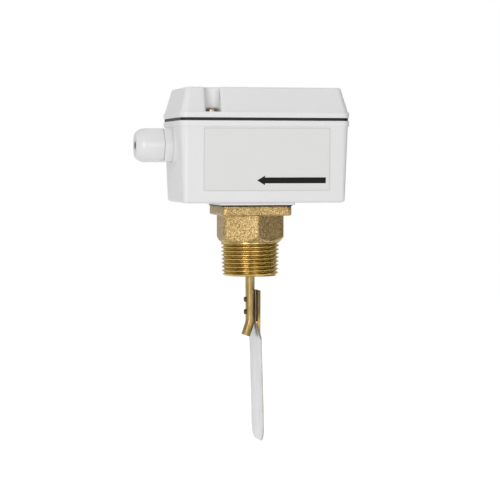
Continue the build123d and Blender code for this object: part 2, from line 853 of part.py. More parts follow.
# Hub: a stem that turns on the pivot pin, with a wider top that carries the lever
with BuildPart() as lever_hub:
    with BuildSketch(Plane.XY.offset(hub_bottom)):
        Rectangle(hub_length, hub_width)
    extrude(amount=hub_height)
    with BuildSketch(Plane.XY.offset(lever_bottom - hub_top_height)):
        Rectangle(hub_top_length, hub_width)
    extrude(amount=hub_top_height)
    with BuildSketch(Plane.XY.offset(hub_bottom)):
        Circle(spigot_radius)
    extrude(amount=spigot_length + slip, mode=Mode.SUBTRACT)
    with BuildSketch(front_plane(0, pivot_height)):
        Circle(pivot_pin_radius + running)
    extrude(amount=hub_width, both=True, mode=Mode.SUBTRACT)
    with Locations((0, 0, lever_bottom)):
        with GridLocations(lever_screw_spacing, 0, 2, 1):
            Hole(lever_screw_radius, depth=lever_screw_engagement)
save(lever_hub.part, "lever_hub")

# Lever on the hub: its left end carries the range spring, its right end trips the switch
with BuildPart() as lever:
    with BuildSketch(Plane.XY.offset(lever_bottom)) as lever_outline:
        with Locations(((lever_right - lever_left) / 2, 0)):
            RectangleRounded(lever_left + lever_right, lever_width, lever_corner)
        with GridLocations(lever_screw_spacing, 0, 2, 1):
            Circle(lever_screw_radius + slip, mode=Mode.SUBTRACT)
        with Locations((spring_x, 0)):
            Circle(seat_peg_radius, mode=Mode.SUBTRACT)
    extrude(amount=lever_thickness)
save(lever.part, "lever")

# Screws that hold the lever on the hub
lever_screw = screw(
    lever_screw_radius,
    lever_thickness + lever_screw_engagement,
    lever_screw_head_radius,
    lever_screw_head_height,
)
with BuildPart() as lever_screws:
    with Locations((0, 0, lever_top)):
        with GridLocations(lever_screw_spacing, 0, 2, 1):
            add(lever_screw)
save(lever_screws.part, "lever_screws")

# Pivot pin across the frame's ears, grooved for its clips
with BuildPart() as pivot_pin:
    with BuildSketch(front_plane(0, pivot_height)):
        Circle(pivot_pin_radius)
    extrude(amount=pin_half_length, both=True)
    for groove_y in (clip_y + clip_thickness, -clip_y):
        with BuildSketch(front_plane(groove_y, pivot_height)):
            Circle(pivot_pin_radius)
            Circle(pivot_pin_radius - clip_groove_depth, mode=Mode.SUBTRACT)
        extrude(amount=clip_thickness, mode=Mode.SUBTRACT)
save(pivot_pin.part, "pivot_pin")

# Clips on the pivot pin
pin_clip = clip(pivot_pin_radius - clip_groove_depth)
with BuildPart() as pivot_clips:
    with Locations(
        front_plane(clip_y + clip_thickness, pivot_height), front_plane(-clip_y, pivot_height)
    ):
        add(pin_clip)
save(pivot_clips.part, "pivot_clips")

# Frame: base plate with two ears, the back one tall enough to carry the switch and the spring
stop_top = lever_bottom - stop_clearance
swing = radians(swing_limit)
travel_stop_top = (
    pivot_height
    + (lever_bottom - pivot_height) / cos(swing)
    - frame_length / 2 * tan(swing)
    - travel_stop_clearance
)
with BuildPart() as switch_frame:
    with BuildSketch(Plane.XY.offset(floor_top)):
        RectangleRounded(frame_length, frame_depth, frame_corner)
        Circle(frame_hole_radius, mode=Mode.SUBTRACT)
        with GridLocations(frame_screw_pitch, frame_screw_pitch, 2, 2):
            Circle(frame_screw_radius + slip, mode=Mode.SUBTRACT)
    extrude(amount=sheet)
    with BuildSketch(front_plane(-ear_gap / 2, floor_top)) as front_ear:
        with Locations((0, (front_ear_height + sheet) / 2)):
            Rectangle(front_ear_width, front_ear_height + sheet)
        fillet(front_ear.vertices().group_by(Axis.Y)[-1], radius=front_ear_corner)
    extrude(amount=sheet)
    with BuildSketch(front_plane(ear_outside, floor_top)) as back_plate:
        with BuildLine():
            Polyline(
                (-frame_length / 2, 0),
                (frame_length / 2, 0),
                (frame_length / 2, gusset_bottom),
                (back_plate_right, gusset_top),
                (back_plate_right, back_plate_height + sheet),
                (-back_plate_left, back_plate_height + sheet),
                (-back_plate_left, gusset_top),
                (-frame_length / 2, gusset_bottom),
                close=True,
            )
        make_face()
        fillet(back_plate.vertices().group_by(Axis.Y)[-1], radius=back_plate_corner)
    extrude(amount=sheet)
    with BuildSketch(Plane.XY.offset(top_flange_bottom)):
        with Locations(
            (top_flange_length / 2 - back_plate_left, ear_outside - top_flange_depth / 2)
        ):
            Rectangle(top_flange_length, top_flange_depth)
    extrude(amount=sheet)
    for side, stop_height in ((-1, stop_top), (1, travel_stop_top)):
        with BuildSketch(Plane.XY.offset(floor_top)):
            with Locations((side * (frame_length - sheet) / 2, 0)):
                Rectangle(sheet, stop_width)
        extrude(amount=stop_height - floor_top)
    with BuildSketch(Plane.XY.offset(floor_top)):
        with Locations(((frame_length - sheet) / 2, earth_y)):
            Rectangle(sheet, earth_tab_width)
    extrude(amount=earth_z - floor_top)
    with BuildSketch(Plane.XY.offset(earth_z)):
        with Locations((earth_x - sheet / 2, earth_y)):
            Rectangle(earth_tab_length + sheet, earth_tab_width)
        with Locations((earth_x, earth_y)):
            Circle(earth_screw_radius, mode=Mode.SUBTRACT)
    extrude(amount=-sheet)
    with BuildSketch(front_plane(0, pivot_height)):
        Circle(pivot_pin_radius)
    extrude(amount=pin_half_length, both=True, mode=Mode.SUBTRACT)
    with BuildSketch(front_plane(ear_outside, switch_screw_z)):
        with Locations((switch_x, 0)):
            with GridLocations(switch_length - 2 * switch_screw_inset, 0, 2, 1):
                Circle(switch_screw_radius + slip)
    extrude(amount=sheet, mode=Mode.SUBTRACT)
    with Locations((spring_x, 0, top_flange_top)):
        Hole(range_screw_radius + running, depth=sheet)
save(switch_frame.part, "switch_frame")

# Screws through the frame, the enclosure and the gasket into the flange
frame_screw = screw(
    frame_screw_radius,
    frame_top - flange_top + frame_screw_engagement,
    frame_screw_head_radius,
    frame_screw_head_height,
)
with BuildPart() as frame_screws:
    with Locations((0, 0, frame_top)):
        with GridLocations(frame_screw_pitch, frame_screw_pitch, 2, 2):
            add(frame_screw)
save(frame_screws.part, "frame_screws")

# Seat that centres the range spring on the lever
with BuildPart() as spring_seat:
    with BuildSketch(Plane((spring_x, 0, lever_top))):
        Circle(seat_radius)
    extrude(amount=seat_thickness)
    with BuildSketch(Plane((spring_x, 0, seat_top))):
        Circle(seat_pilot_radius)
    extrude(amount=seat_pilot_height)
    with BuildSketch(Plane((spring_x, 0, lever_top))):
        Circle(seat_peg_radius)
    extrude(amount=-lever_thickness)
save(spring_seat.part, "spring_seat")

# Range spring between its seat and the nut
spring_start = seat_top + spring_wire / 2 + touch
spring_rise = nut_bottom - spring_wire / 2 - touch - spring_start
with BuildPart() as range_spring:
    with BuildLine() as spring_line:
        Helix(
            pitch=spring_rise / spring_turns,
            height=spring_rise,
            radius=spring_radius,
            center=(spring_x, 0, spring_start),
        )
    with BuildSketch(Plane(origin=spring_line.line @ 0, z_dir=spring_line.line % 0)):
        Circle(spring_wire / 2)
    sweep(path=spring_line.line, is_frenet=True)
save(range_spring.part, "range_spring")

# Range nut, kept from turning by the back plate beside it
with BuildPart() as range_nut:
    with BuildSketch(Plane((spring_x, nut_back_y - nut_width / 2, nut_bottom))):
        Rectangle(nut_width, nut_width)
    extrude(amount=nut_height)
    with Locations((spring_x, 0, nut_bottom + nut_height)):
        Hole(range_screw_radius + running)
save(range_nut.part, "range_nut")

# Range screw: grooved thumb head above the flange, clip groove below it
with BuildPart() as range_screw:
    with BuildSketch(Plane((spring_x, 0, top_flange_top + running))):
        Circle(range_head_radius)
        with PolarLocations(range_head_radius, range_head_grooves):
            Circle(range_groove_radius, mode=Mode.SUBTRACT)
    extrude(amount=range_head_height)
    with BuildSketch(Plane((spring_x, 0, top_flange_top + running + range_head_height))):
        Rectangle(2 * range_head_radius, screw_slot_width)
    extrude(amount=-screw_slot_depth, mode=Mode.SUBTRACT)
    with BuildSketch(Plane((spring_x, 0, top_flange_top + running))):
        Circle(range_screw_radius)
    extrude(amount=nut_bottom - range_screw_tail - top_flange_top - running)
    chamfer(range_screw.faces().sort_by(Axis.Z)[0].edges(), length=screw_point)
    with BuildSketch(Plane((spring_x, 0, range_clip_z))):
        Circle(range_screw_radius)
        Circle(range_screw_radius - clip_groove_depth, mode=Mode.SUBTRACT)
    extrude(amount=clip_thickness, mode=Mode.SUBTRACT)
save(range_screw.part, "range_screw")

# Clip that holds the range screw up against the spring's push
with BuildPart() as range_clip:
    with Locations((spring_x, 0, range_clip_z)):
        add(clip(range_screw_radius - clip_groove_depth))
save(range_clip.part, "range_clip")

# Snap switch: moulded case with a plunger guide below and walls between its terminals
terminal_spots = GridLocations(terminal_pitch, 0, 3, 1).locations
with BuildPart() as snap_switch:
    with BuildSketch(Plane((switch_x, switch_y, switch_bottom))):
        RectangleRounded(switch_length, switch_depth, switch_edge)
    extrude(amount=switch_height)
    with BuildSketch(Plane((plunger_along, switch_y, switch_bottom))):
        Circle(guide_radius)
    extrude(amount=-guide_height)
    with BuildSketch(Plane((switch_x, switch_y, switch_top))):
        with GridLocations(terminal_pitch, 0, 2, 1):
            Rectangle(barrier_thickness, terminal_depth)
    extrude(amount=barrier_height)
    with BuildSketch(Plane((plunger_along, switch_y, switch_bottom - guide_height))):
        Circle(plunger_radius + running)
    extrude(amount=well_bottom - switch_bottom + guide_height, mode=Mode.SUBTRACT)
    with BuildSketch(Plane((plunger_along, switch_y, well_bottom))):
        Circle(plunger_head_radius + running)
    extrude(amount=plunger_top + plunger_headroom - well_bottom, mode=Mode.SUBTRACT)
    with BuildSketch(front_plane(ear_gap / 2, switch_screw_z)):
        with Locations((switch_x, 0)):
            with GridLocations(switch_length - 2 * switch_screw_inset, 0, 2, 1):
                Circle(switch_screw_radius + slip)
    extrude(amount=switch_depth, mode=Mode.SUBTRACT)
    with Locations(Plane((switch_x, switch_y, switch_top))):
        with Locations(terminal_spots):
            Hole(terminal_screw_radius, depth=terminal_screw_length)
save(snap_switch.part, "snap_switch")

# Plunger, headed so that it stays in the case
with BuildPart() as switch_plunger:
    with BuildSketch(Plane((plunger_along, switch_y, plunger_bottom))):
        Circle(plunger_radius)
    extrude(amount=plunger_length)
    with BuildSketch(Plane((plunger_along, switch_y, plunger_shoulder))):
        Circle(plunger_head_radius)
    extrude(amount=plunger_head_thickness)
    fillet(switch_plunger.faces().sort_by(Axis.Z)[0].edges(), radius=screw_point)
save(switch_plunger.part, "switch_plunger")

# Screws and nuts that hold the switch on the back plate
switch_screw = screw(
    switch_screw_radius,
    switch_depth + sheet + switch_nut_thickness + pin_end,
    switch_screw_head_radius,
    switch_screw_head_height,
)
with BuildPart() as switch_screws:
    with Locations(front_plane(ear_gap / 2 - switch_depth, switch_screw_z)):
        with Locations((switch_x, 0)):
            with GridLocations(switch_length - 2 * switch_screw_inset, 0, 2, 1):
                add(switch_screw)
save(switch_screws.part, "switch_screws")

with BuildPart() as switch_nuts:
    with BuildSketch(front_plane(ear_outside, switch_screw_z)):
        with Locations((switch_x, 0)):
            with GridLocations(switch_length - 2 * switch_screw_inset, 0, 2, 1):
                RegularPolygon(switch_nut_flats / 2, 6, major_radius=False)
                Circle(switch_screw_radius + touch, mode=Mode.SUBTRACT)
    extrude(amount=-switch_nut_thickness)
save(switch_nuts.part, "switch_nuts")

# Terminal plates and their screws on top of the switch
with BuildPart() as terminal_plates:
    with BuildSketch(Plane((switch_x, switch_y, switch_top))):
        with Locations(terminal_spots):
            Rectangle(terminal_width, terminal_depth)
            Circle(terminal_screw_radius + slip, mode=Mode.SUBTRACT)
    extrude(amount=terminal_thickness)
save(terminal_plates.part, "terminal_plates")

terminal_screw = screw(
    terminal_screw_radius,
    terminal_screw_length,
    terminal_head_radius,
    terminal_head_height,
)
with BuildPart() as terminal_screws:
    with Locations(Plane((switch_x, switch_y, switch_top + terminal_thickness))):
        with Locations(terminal_spots):
            add(terminal_screw)
save(terminal_screws.part, "terminal_screws")

# Earth clamp and its screw on the frame's raised tab
with BuildPart() as earth_clamp:
    with BuildSketch(Plane((earth_x, earth_y, earth_z))):
        Rectangle(earth_clamp_width, earth_clamp_width)
        Circle(earth_screw_radius + slip, mode=Mode.SUBTRACT)
    extrude(amount=earth_clamp_thickness)
    with BuildSketch(Plane((earth_x, earth_y, earth_z))):
        with GridLocations(earth_clamp_width - earth_clamp_thickness, 0, 2, 1):
            Rectangle(earth_clamp_thickness, earth_clamp_width)
    extrude(amount=earth_clamp_thickness + earth_clamp_cheek)
save(earth_clamp.part, "earth_clamp")

with BuildPart() as earth_screw:
    with Locations((earth_x, earth_y, earth_z + earth_clamp_thickness)):
        add(screw(earth_screw_radius, earth_screw_length, earth_head_radius, earth_head_height))
save(earth_screw.part, "earth_screw")
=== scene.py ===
import math

import bmesh
import bpy
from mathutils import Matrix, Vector


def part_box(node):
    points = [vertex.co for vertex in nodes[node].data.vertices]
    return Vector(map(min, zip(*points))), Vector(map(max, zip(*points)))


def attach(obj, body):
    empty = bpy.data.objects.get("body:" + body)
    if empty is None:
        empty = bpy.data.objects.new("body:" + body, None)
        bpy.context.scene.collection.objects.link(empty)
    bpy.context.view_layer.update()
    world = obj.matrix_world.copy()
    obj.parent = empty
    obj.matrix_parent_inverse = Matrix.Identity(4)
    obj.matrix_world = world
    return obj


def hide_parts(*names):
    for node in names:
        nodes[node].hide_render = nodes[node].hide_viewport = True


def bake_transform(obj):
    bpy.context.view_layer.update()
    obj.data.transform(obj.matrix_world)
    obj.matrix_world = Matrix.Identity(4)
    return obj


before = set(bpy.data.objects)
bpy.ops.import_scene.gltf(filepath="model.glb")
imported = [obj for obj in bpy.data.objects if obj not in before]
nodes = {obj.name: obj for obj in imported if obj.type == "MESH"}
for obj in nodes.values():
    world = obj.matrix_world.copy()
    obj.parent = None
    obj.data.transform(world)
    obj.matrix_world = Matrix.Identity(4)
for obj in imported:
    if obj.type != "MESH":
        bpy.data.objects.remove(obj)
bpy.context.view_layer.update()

MM = 0.001
FULL_TURN = 2 * math.pi
CORNER = math.radians(32)


def linear(code):
    """The linear colour of an sRGB hex value."""
    channels = [int(code[i : i + 2], 16) / 255 for i in (1, 3, 5)]
    return [c / 12.92 if c <= 0.04045 else ((c + 0.055) / 1.055) ** 2.4 for c in channels] + [1.0]


def add(tree, kind, inputs=None, **settings):
    """Adds a node with its settings; an input given as a socket is linked."""
    node = tree.nodes.new(kind)
    for name, value in settings.items():
        setattr(node, name, value)
    for key, value in (inputs or {}).items():
        if isinstance(value, bpy.types.NodeSocket):
            tree.links.new(value, node.inputs[key])
        else:
            node.inputs[key].default_value = value
    return node


# Camera: at the enclosure's height and dipped a little, 12.7 degrees round to the left, one
# metre away
camera_turn = math.radians(-12.7)
camera_dip = math.radians(2.93)
camera_height = 0.0462
picture_width = 500
focal_length = 1750  # in the picture's pixels
camera_data = bpy.data.cameras.new("camera")
camera_data.sensor_width = 36.0
camera_data.lens = camera_data.sensor_width * focal_length / picture_width
camera = bpy.data.objects.new("camera", camera_data)
bpy.context.scene.collection.objects.link(camera)
camera.location = Vector((math.sin(camera_turn), -math.cos(camera_turn), camera_height))
camera.rotation_euler = (math.pi / 2 - camera_dip, 0, camera_turn)
bpy.context.scene.camera = camera
bpy.context.scene.view_settings.view_transform = "Standard"

# World: white behind the object, grey in front of it, dark to the right, with a grey flag
# standing behind to the left
world = bpy.data.worlds.new("studio")
bpy.context.scene.world = world
world.use_nodes = True
tree = world.node_tree
tree.nodes.clear()
direction = add(tree, "ShaderNodeTexCoord")
heading = add(tree, "ShaderNodeSeparateXYZ", {0: direction.outputs["Generated"]})
depth = add(
    tree,
    "ShaderNodeMapRange",
    {"Value": heading.outputs["Y"], "From Min": 0.0, "From Max": 0.6, "To Min": 0.62,
     "To Max": 1.0},
)
sides = add(
    tree,
    "ShaderNodeMapRange",
    {"Value": heading.outputs["X"], "From Min": 0.35, "From Max": 0.85, "To Min": 1.0,
     "To Max": 0.14},
)
flag_place = 0.26
shifted = add(
    tree, "ShaderNodeMath", {0: heading.outputs["X"], 1: flag_place}, operation="ADD"
)
off_middle = add(tree, "ShaderNodeMath", {0: shifted.outputs[0]}, operation="ABSOLUTE")
left_back = add(
    tree,
    "ShaderNodeMapRange",
    {"Value": off_middle.outputs[0], "From Min": 0.13, "From Max": 0.31, "To Min": 0.58,
     "To Max": 1.0},
)
ahead = add(
    tree,
    "ShaderNodeMapRange",
    {"Value": heading.outputs["Y"], "From Min": -0.05, "From Max": 0.35},
)
flag = add(
    tree,
    "ShaderNodeMix",
    {"Factor": ahead.outputs["Result"], "A": 1.0, "B": left_back.outputs["Result"]},
    data_type="FLOAT",
)
across = add(
    tree,
    "ShaderNodeMath",
    {0: sides.outputs["Result"], 1: flag.outputs[0]},
    operation="MULTIPLY",
)
room = add(
    tree,
    "ShaderNodeMath",
    {0: depth.outputs["Result"], 1: across.outputs[0]},
    operation="MULTIPLY",
)
rays = add(tree, "ShaderNodeLightPath")
level = add(
    tree,
    "ShaderNodeMix",
    {"Factor": rays.outputs["Is Camera Ray"], "A": room.outputs[0], "B": 1.0},
    data_type="FLOAT",
)
sky = add(
    tree,
    "ShaderNodeBackground",
    {"Color": linear("#FFFFFF"), "Strength": level.outputs[0]},
)
add(tree, "ShaderNodeOutputWorld", {"Surface": sky.outputs[0]})


def softbox(name, place, aim, size, power):
    """A square area lamp at place, facing aim."""
    data = bpy.data.lights.new(name, "AREA")
    data.shape = "SQUARE"
    data.size = size
    data.energy = power
    lamp = bpy.data.objects.new(name, data)
    bpy.context.scene.collection.objects.link(lamp)
    lamp.location = place
    lamp.rotation_euler = (Vector(aim) - Vector(place)).to_track_quat("-Z", "Y").to_euler()


softbox("key", (-1.0, -1.67, 0.2), (0, 0, 0), 0.75, 9.6)
softbox("fill", (0.25, -1.4, 0.1), (0, 0, 0), 0.6, 2.5)
softbox("top", (0.1, 0.25, 1.1), (0, 0, 0.05), 0.7, 0.8)

# Floor: far enough below the paddle that its shadow falls outside the camera's view
floor_half = 1.6
floor_height = -0.175
floor_glow = 0.52
floor_mesh = bpy.data.meshes.new("floor")
floor_corners = [
    (x * floor_half, y * floor_half, floor_height) for x, y in ((-1, -1), (1, -1), (1, 1), (-1, 1))
]
floor_mesh.from_pydata(floor_corners, [], [(0, 1, 2, 3)])
floor = bpy.data.objects.new("floor", floor_mesh)
bpy.context.scene.collection.objects.link(floor)
paper = bpy.data.materials.new("white_paper")
paper.use_nodes = True
tree = paper.node_tree
tree.nodes.clear()
rays = add(tree, "ShaderNodeLightPath")
diffuse = add(tree, "ShaderNodeBsdfDiffuse", {"Color": linear("#F4F4F4")})
seen = add(
    tree,
    "ShaderNodeMath",
    {0: rays.outputs["Is Camera Ray"], 1: rays.outputs["Is Glossy Ray"]},
    operation="MAXIMUM",
)
lift = add(tree, "ShaderNodeMath", {0: seen.outputs[0], 1: floor_glow}, operation="MULTIPLY")
glow = add(tree, "ShaderNodeEmission", {"Color": linear("#FFFFFF"), "Strength": lift.outputs[0]})
both = add(tree, "ShaderNodeAddShader", {0: diffuse.outputs[0], 1: glow.outputs[0]})
add(tree, "ShaderNodeOutputMaterial", {"Surface": both.outputs[0]})
floor_mesh.materials.append(paper)


def start_material(name):
    """A named material with only its shader and its output, and Object coordinates to draw on."""
    material = bpy.data.materials.new(name)
    material.use_nodes = True
    tree = material.node_tree
    tree.nodes.clear()
    shader = add(tree, "ShaderNodeBsdfPrincipled")
    add(tree, "ShaderNodeOutputMaterial", {"Surface": shader.outputs[0]})
    place = add(tree, "ShaderNodeTexCoord")
    return material, tree, shader, place.outputs["Object"]


def per_metre(size_mm):
    """A texture scale whose features are about size_mm across."""
    return 1.0 / (size_mm * MM)


def moulded_plastic(name, colour, shade, roughness, grain_mm, depth_mm):
    """A moulded plastic: fine spark-eroded grain and a faint cloudy tone from the melt's flow."""
    material, tree, shader, place = start_material(name)
    flow = add(
        tree, "ShaderNodeTexNoise", {"Vector": place, "Scale": per_metre(26), "Detail": 2.0}
    )
    tone = add(
        tree,
        "ShaderNodeMix",
        {"Factor": flow.outputs["Fac"], "A": linear(colour), "B": linear(shade)},
        data_type="RGBA",
    )
    grain = add(
        tree,
        "ShaderNodeTexNoise",
        {"Vector": place, "Scale": per_metre(grain_mm), "Detail": 3.0, "Roughness": 0.6},
    )
    sheen = add(
        tree,
        "ShaderNodeMapRange",
        {"Value": grain.outputs["Fac"], "To Min": roughness - 0.05, "To Max": roughness + 0.06},
    )
    bump = add(
        tree,
        "ShaderNodeBump",
        {"Strength": 0.35, "Distance": depth_mm * MM, "Height": grain.outputs["Fac"]},
    )
    tree.links.new(tone.outputs[2], shader.inputs["Base Color"])
    tree.links.new(sheen.outputs["Result"], shader.inputs["Roughness"])
    tree.links.new(bump.outputs["Normal"], shader.inputs["Normal"])
    shader.inputs["IOR"].default_value = 1.53
    return material


def grainy_metal(name, colours, roughness, grain_mm, depth_mm, speckle_mm):
    """A cast or forged metal skin: mottled tone, small bright and dark specks, matt grain."""
    material, tree, shader, place = start_material(name)
    mottle = add(
        tree,
        "ShaderNodeTexNoise",
        {"Vector": place, "Scale": per_metre(speckle_mm * 2.6), "Detail": 3.0, "Roughness": 0.6},
    )
    specks = add(
        tree,
        "ShaderNodeTexNoise",
        {"Vector": place, "Scale": per_metre(speckle_mm), "Detail": 2.0, "Roughness": 0.7},
    )
    mixed = add(
        tree,
        "ShaderNodeMix",
        {"Factor": 0.8, "A": mottle.outputs["Fac"], "B": specks.outputs["Fac"]},
        data_type="FLOAT",
    )
    # The stops stand close together, so that the specks stay crisp at this size
    ramp = add(tree, "ShaderNodeValToRGB", {"Fac": mixed.outputs[0]})
    stops = ramp.color_ramp.elements
    stops[0].position = 0.38
    stops[0].color = linear(colours[0])
    stops[1].position = 0.62
    stops[1].color = linear(colours[2])
    middle = stops.new(0.5)
    middle.color = linear(colours[1])
    grain = add(
        tree,
        "ShaderNodeTexNoise",
        {"Vector": place, "Scale": per_metre(grain_mm), "Detail": 3.0, "Roughness": 0.65},
    )
    polish = add(
        tree,
        "ShaderNodeMapRange",
        {"Value": specks.outputs["Fac"], "From Min": 0.3, "From Max": 0.7,
         "To Min": roughness - 0.1, "To Max": roughness + 0.12},
    )
    bump = add(
        tree,
        "ShaderNodeBump",
        {"Strength": 0.8, "Distance": depth_mm * MM, "Height": grain.outputs["Fac"]},
    )
    tree.links.new(ramp.outputs["Color"], shader.inputs["Base Color"])
    tree.links.new(polish.outputs["Result"], shader.inputs["Roughness"])
    tree.links.new(bump.outputs["Normal"], shader.inputs["Normal"])
    shader.inputs["Metallic"].default_value = 1.0
    return material


def lined_metal(name, colour, shade, roughness, line_mm, stretch, depth_mm):
    """A drawn, rolled or turned metal: fine lines that run along the axis stretch shortens."""
    material, tree, shader, place = start_material(name)
    along = add(tree, "ShaderNodeMapping", {"Vector": place, "Scale": stretch})
    lines = add(
        tree,
        "ShaderNodeTexNoise",
        {"Vector": along.outputs[0], "Scale": per_metre(line_mm), "Detail": 3.0, "Roughness": 0.6},
    )
    cloud = add(
        tree, "ShaderNodeTexNoise", {"Vector": place, "Scale": per_metre(9), "Detail": 3.0}
    )
    mixed = add(
        tree,
        "ShaderNodeMix",
        {"Factor": 0.5, "A": lines.outputs["Fac"], "B": cloud.outputs["Fac"]},
        data_type="FLOAT",
    )
    spread = add(
        tree,
        "ShaderNodeMapRange",
        {"Value": mixed.outputs[0], "From Min": 0.35, "From Max": 0.65},
    )
    tone = add(
        tree,
        "ShaderNodeMix",
        {"Factor": spread.outputs["Result"], "A": linear(colour), "B": linear(shade)},
        data_type="RGBA",
    )
    polish = add(
        tree,
        "ShaderNodeMapRange",
        {"Value": lines.outputs["Fac"], "From Min": 0.3, "From Max": 0.7,
         "To Min": roughness - 0.06, "To Max": roughness + 0.08},
    )
    bump = add(
        tree,
        "ShaderNodeBump",
        {"Strength": 0.5, "Distance": depth_mm * MM, "Height": lines.outputs["Fac"]},
    )
    tree.links.new(tone.outputs[2], shader.inputs["Base Color"])
    tree.links.new(polish.outputs["Result"], shader.inputs["Roughness"])
    tree.links.new(bump.outputs["Normal"], shader.inputs["Normal"])
    shader.inputs["Metallic"].default_value = 1.0
    return material


def matt_rubber(name, colour, shade):
    """A moulded rubber: nearly black, dull, with a fine talc bloom."""
    material, tree, shader, place = start_material(name)
    bloom = add(
        tree, "ShaderNodeTexNoise", {"Vector": place, "Scale": per_metre(1.2), "Detail": 5.0}
    )
    tone = add(
        tree,
        "ShaderNodeMix",
        {"Factor": bloom.outputs["Fac"], "A": linear(colour), "B": linear(shade)},
        data_type="RGBA",
    )
    bump = add(
        tree,
        "ShaderNodeBump",
        {"Strength": 0.4, "Distance": 0.03 * MM, "Height": bloom.outputs["Fac"]},
    )
    tree.links.new(tone.outputs[2], shader.inputs["Base Color"])
    tree.links.new(bump.outputs["Normal"], shader.inputs["Normal"])
    shader.inputs["Roughness"].default_value = 0.45
    shader.inputs["Specular IOR Level"].default_value = 0.35
    return material


# ABS of the enclosure: satin, its grain drawn coarser than the real 0.1 mm so that it shows
moulded_abs = moulded_plastic("moulded_abs", "#E9E9E9", "#E5E5E5", 0.46, 0.7, 0.02)
# Polyamide of the gland: a touch brighter and glossier
moulded_polyamide = moulded_plastic("moulded_polyamide", "#E5E5E6", "#E1E1E2", 0.24, 0.9, 0.01)
# Phenolic resin of the switch: black with a dull gloss
phenolic_resin = moulded_plastic("phenolic_resin", "#1B1A1A", "#232120", 0.34, 0.6, 0.02)
# Coloured thermoplastic of the plunger
red_acetal = moulded_plastic("red_acetal", "#A8231B", "#9A1F18", 0.33, 0.8, 0.01)
# Printed polyester film of the label
polyester_film = moulded_plastic("polyester_film", "#E0E0DE", "#DEDEDC", 0.4, 1.6, 0.008)
# Printing ink of the arrow
printing_ink = moulded_plastic("printing_ink", "#0B0B0B", "#101010", 0.62, 1.0, 0.004)
printing_ink.node_tree.nodes["Principled BSDF"].inputs["Specular IOR Level"].default_value = 0.2
# Grey ink of the line round the label
grey_ink = moulded_plastic("grey_ink", "#D1D1CF", "#CCCCCA", 0.5, 1.0, 0.004)
# Forged brass of the fitting: sandy skin with bright specks
forged_brass = grainy_metal(
    "forged_brass", ("#5E4A2C", "#A68B5A", "#DEC591"), 0.4, 0.5, 0.12, 0.5
)
# Turned brass of the pipe thread: smoother, with tool lines round it
turned_brass = lined_metal(
    "turned_brass", "#CBB36E", "#A8904F", 0.22, 0.5, (0.2, 0.2, 2.4), 0.02
)
# Drawn brass of the rod and the clamp: lines along its length
drawn_brass = lined_metal("drawn_brass", "#A79060", "#8A7242", 0.34, 0.45, (1, 1, 0.06), 0.03)
# Brass bar of the clamp: the same metal, dull and darker than the rod, and lighter towards its
# lower end, a painted highlight where the real bar bends outward into the light
darker_brass = lined_metal("darker_brass", "#7C6640", "#5F4C2C", 0.42, 0.6, (1, 1, 0.2), 0.03)
tree = darker_brass.node_tree
shader = tree.nodes["Principled BSDF"]
place = add(tree, "ShaderNodeTexCoord")
down = add(tree, "ShaderNodeSeparateXYZ", {0: place.outputs["Object"]})
# Painted highlight: lower down the bar the colour turns to a bright gold, where the real bar bends
# outward into the light
painted_highlight_fade = add(
    tree,
    "ShaderNodeMapRange",
    {"Value": down.outputs["Z"], "From Min": -0.041, "From Max": -0.047},
)
painted_highlight_tone = add(
    tree,
    "ShaderNodeMix",
    {"Factor": painted_highlight_fade.outputs["Result"], "A": shader.inputs["Base Color"].links[0].from_socket,
     "B": linear("#BE9650")},
    data_type="RGBA",
)
tree.links.new(painted_highlight_tone.outputs[2], shader.inputs["Base Color"])
# Rolled stainless strip of the paddle: even satin, faint lines along it
rolled_stainless = lined_metal(
    "rolled_stainless", "#D6D7D8", "#CCCDCE", 0.38, 0.5, (1, 1, 0.04), 0.01
)
# Sheared edges of that strip: duller and darker than its faces
sheared_steel = lined_metal("sheared_steel", "#C3C0BC", "#ACA9A5", 0.5, 0.6, (1, 1, 1), 0.02)
# Edges of that strip where it is clamped: nearly black, a painted shade for the shadow between the
# rod and the clamp
painted_shade_steel = lined_metal("painted_shade_steel", "#2E2823", "#1E1A16", 0.5, 0.7, (1, 1, 1), 0.02)
# Steel of the clamp's screws: stained brown by the water
stained_steel = lined_metal("stained_steel", "#665642", "#4A3E2F", 0.45, 0.7, (1, 1, 1), 0.02)
# Steel of the lid's screws: passivated yellowish grey
passivated_steel = lined_metal(
    "passivated_steel", "#A59C8C", "#8A8172", 0.3, 0.6, (1, 1, 1), 0.008
)
# Zinc plate on the frame and the screws: bright with a faint cloudy bloom
zinc_plate = lined_metal("zinc_plate", "#C9CBCE", "#B4B4B0", 0.36, 2.2, (1, 1, 1), 0.012)
# Nickel plate on the terminals
nickel_plate = lined_metal("nickel_plate", "#CFCBC0", "#BEB9AC", 0.27, 1.6, (1, 1, 1), 0.008)
# Spring steel of the coil and the clips: darker, oiled
spring_steel = lined_metal("spring_steel", "#8E8F92", "#77787A", 0.33, 0.5, (1, 1, 1), 0.01)
# Phosphor bronze of the bellows: reddish, lightly tarnished
phosphor_bronze = lined_metal(
    "phosphor_bronze", "#B98A58", "#9C6F45", 0.35, 1.2, (0.3, 0.3, 2), 0.01
)
# Stainless pins and screws
turned_stainless = lined_metal(
    "turned_stainless", "#D6D6D6", "#C2C2C1", 0.28, 0.4, (1, 1, 1.6), 0.008
)
# Rubber of the gaskets and the seal
black_epdm = matt_rubber("black_epdm", "#070707", "#0D0D0D")

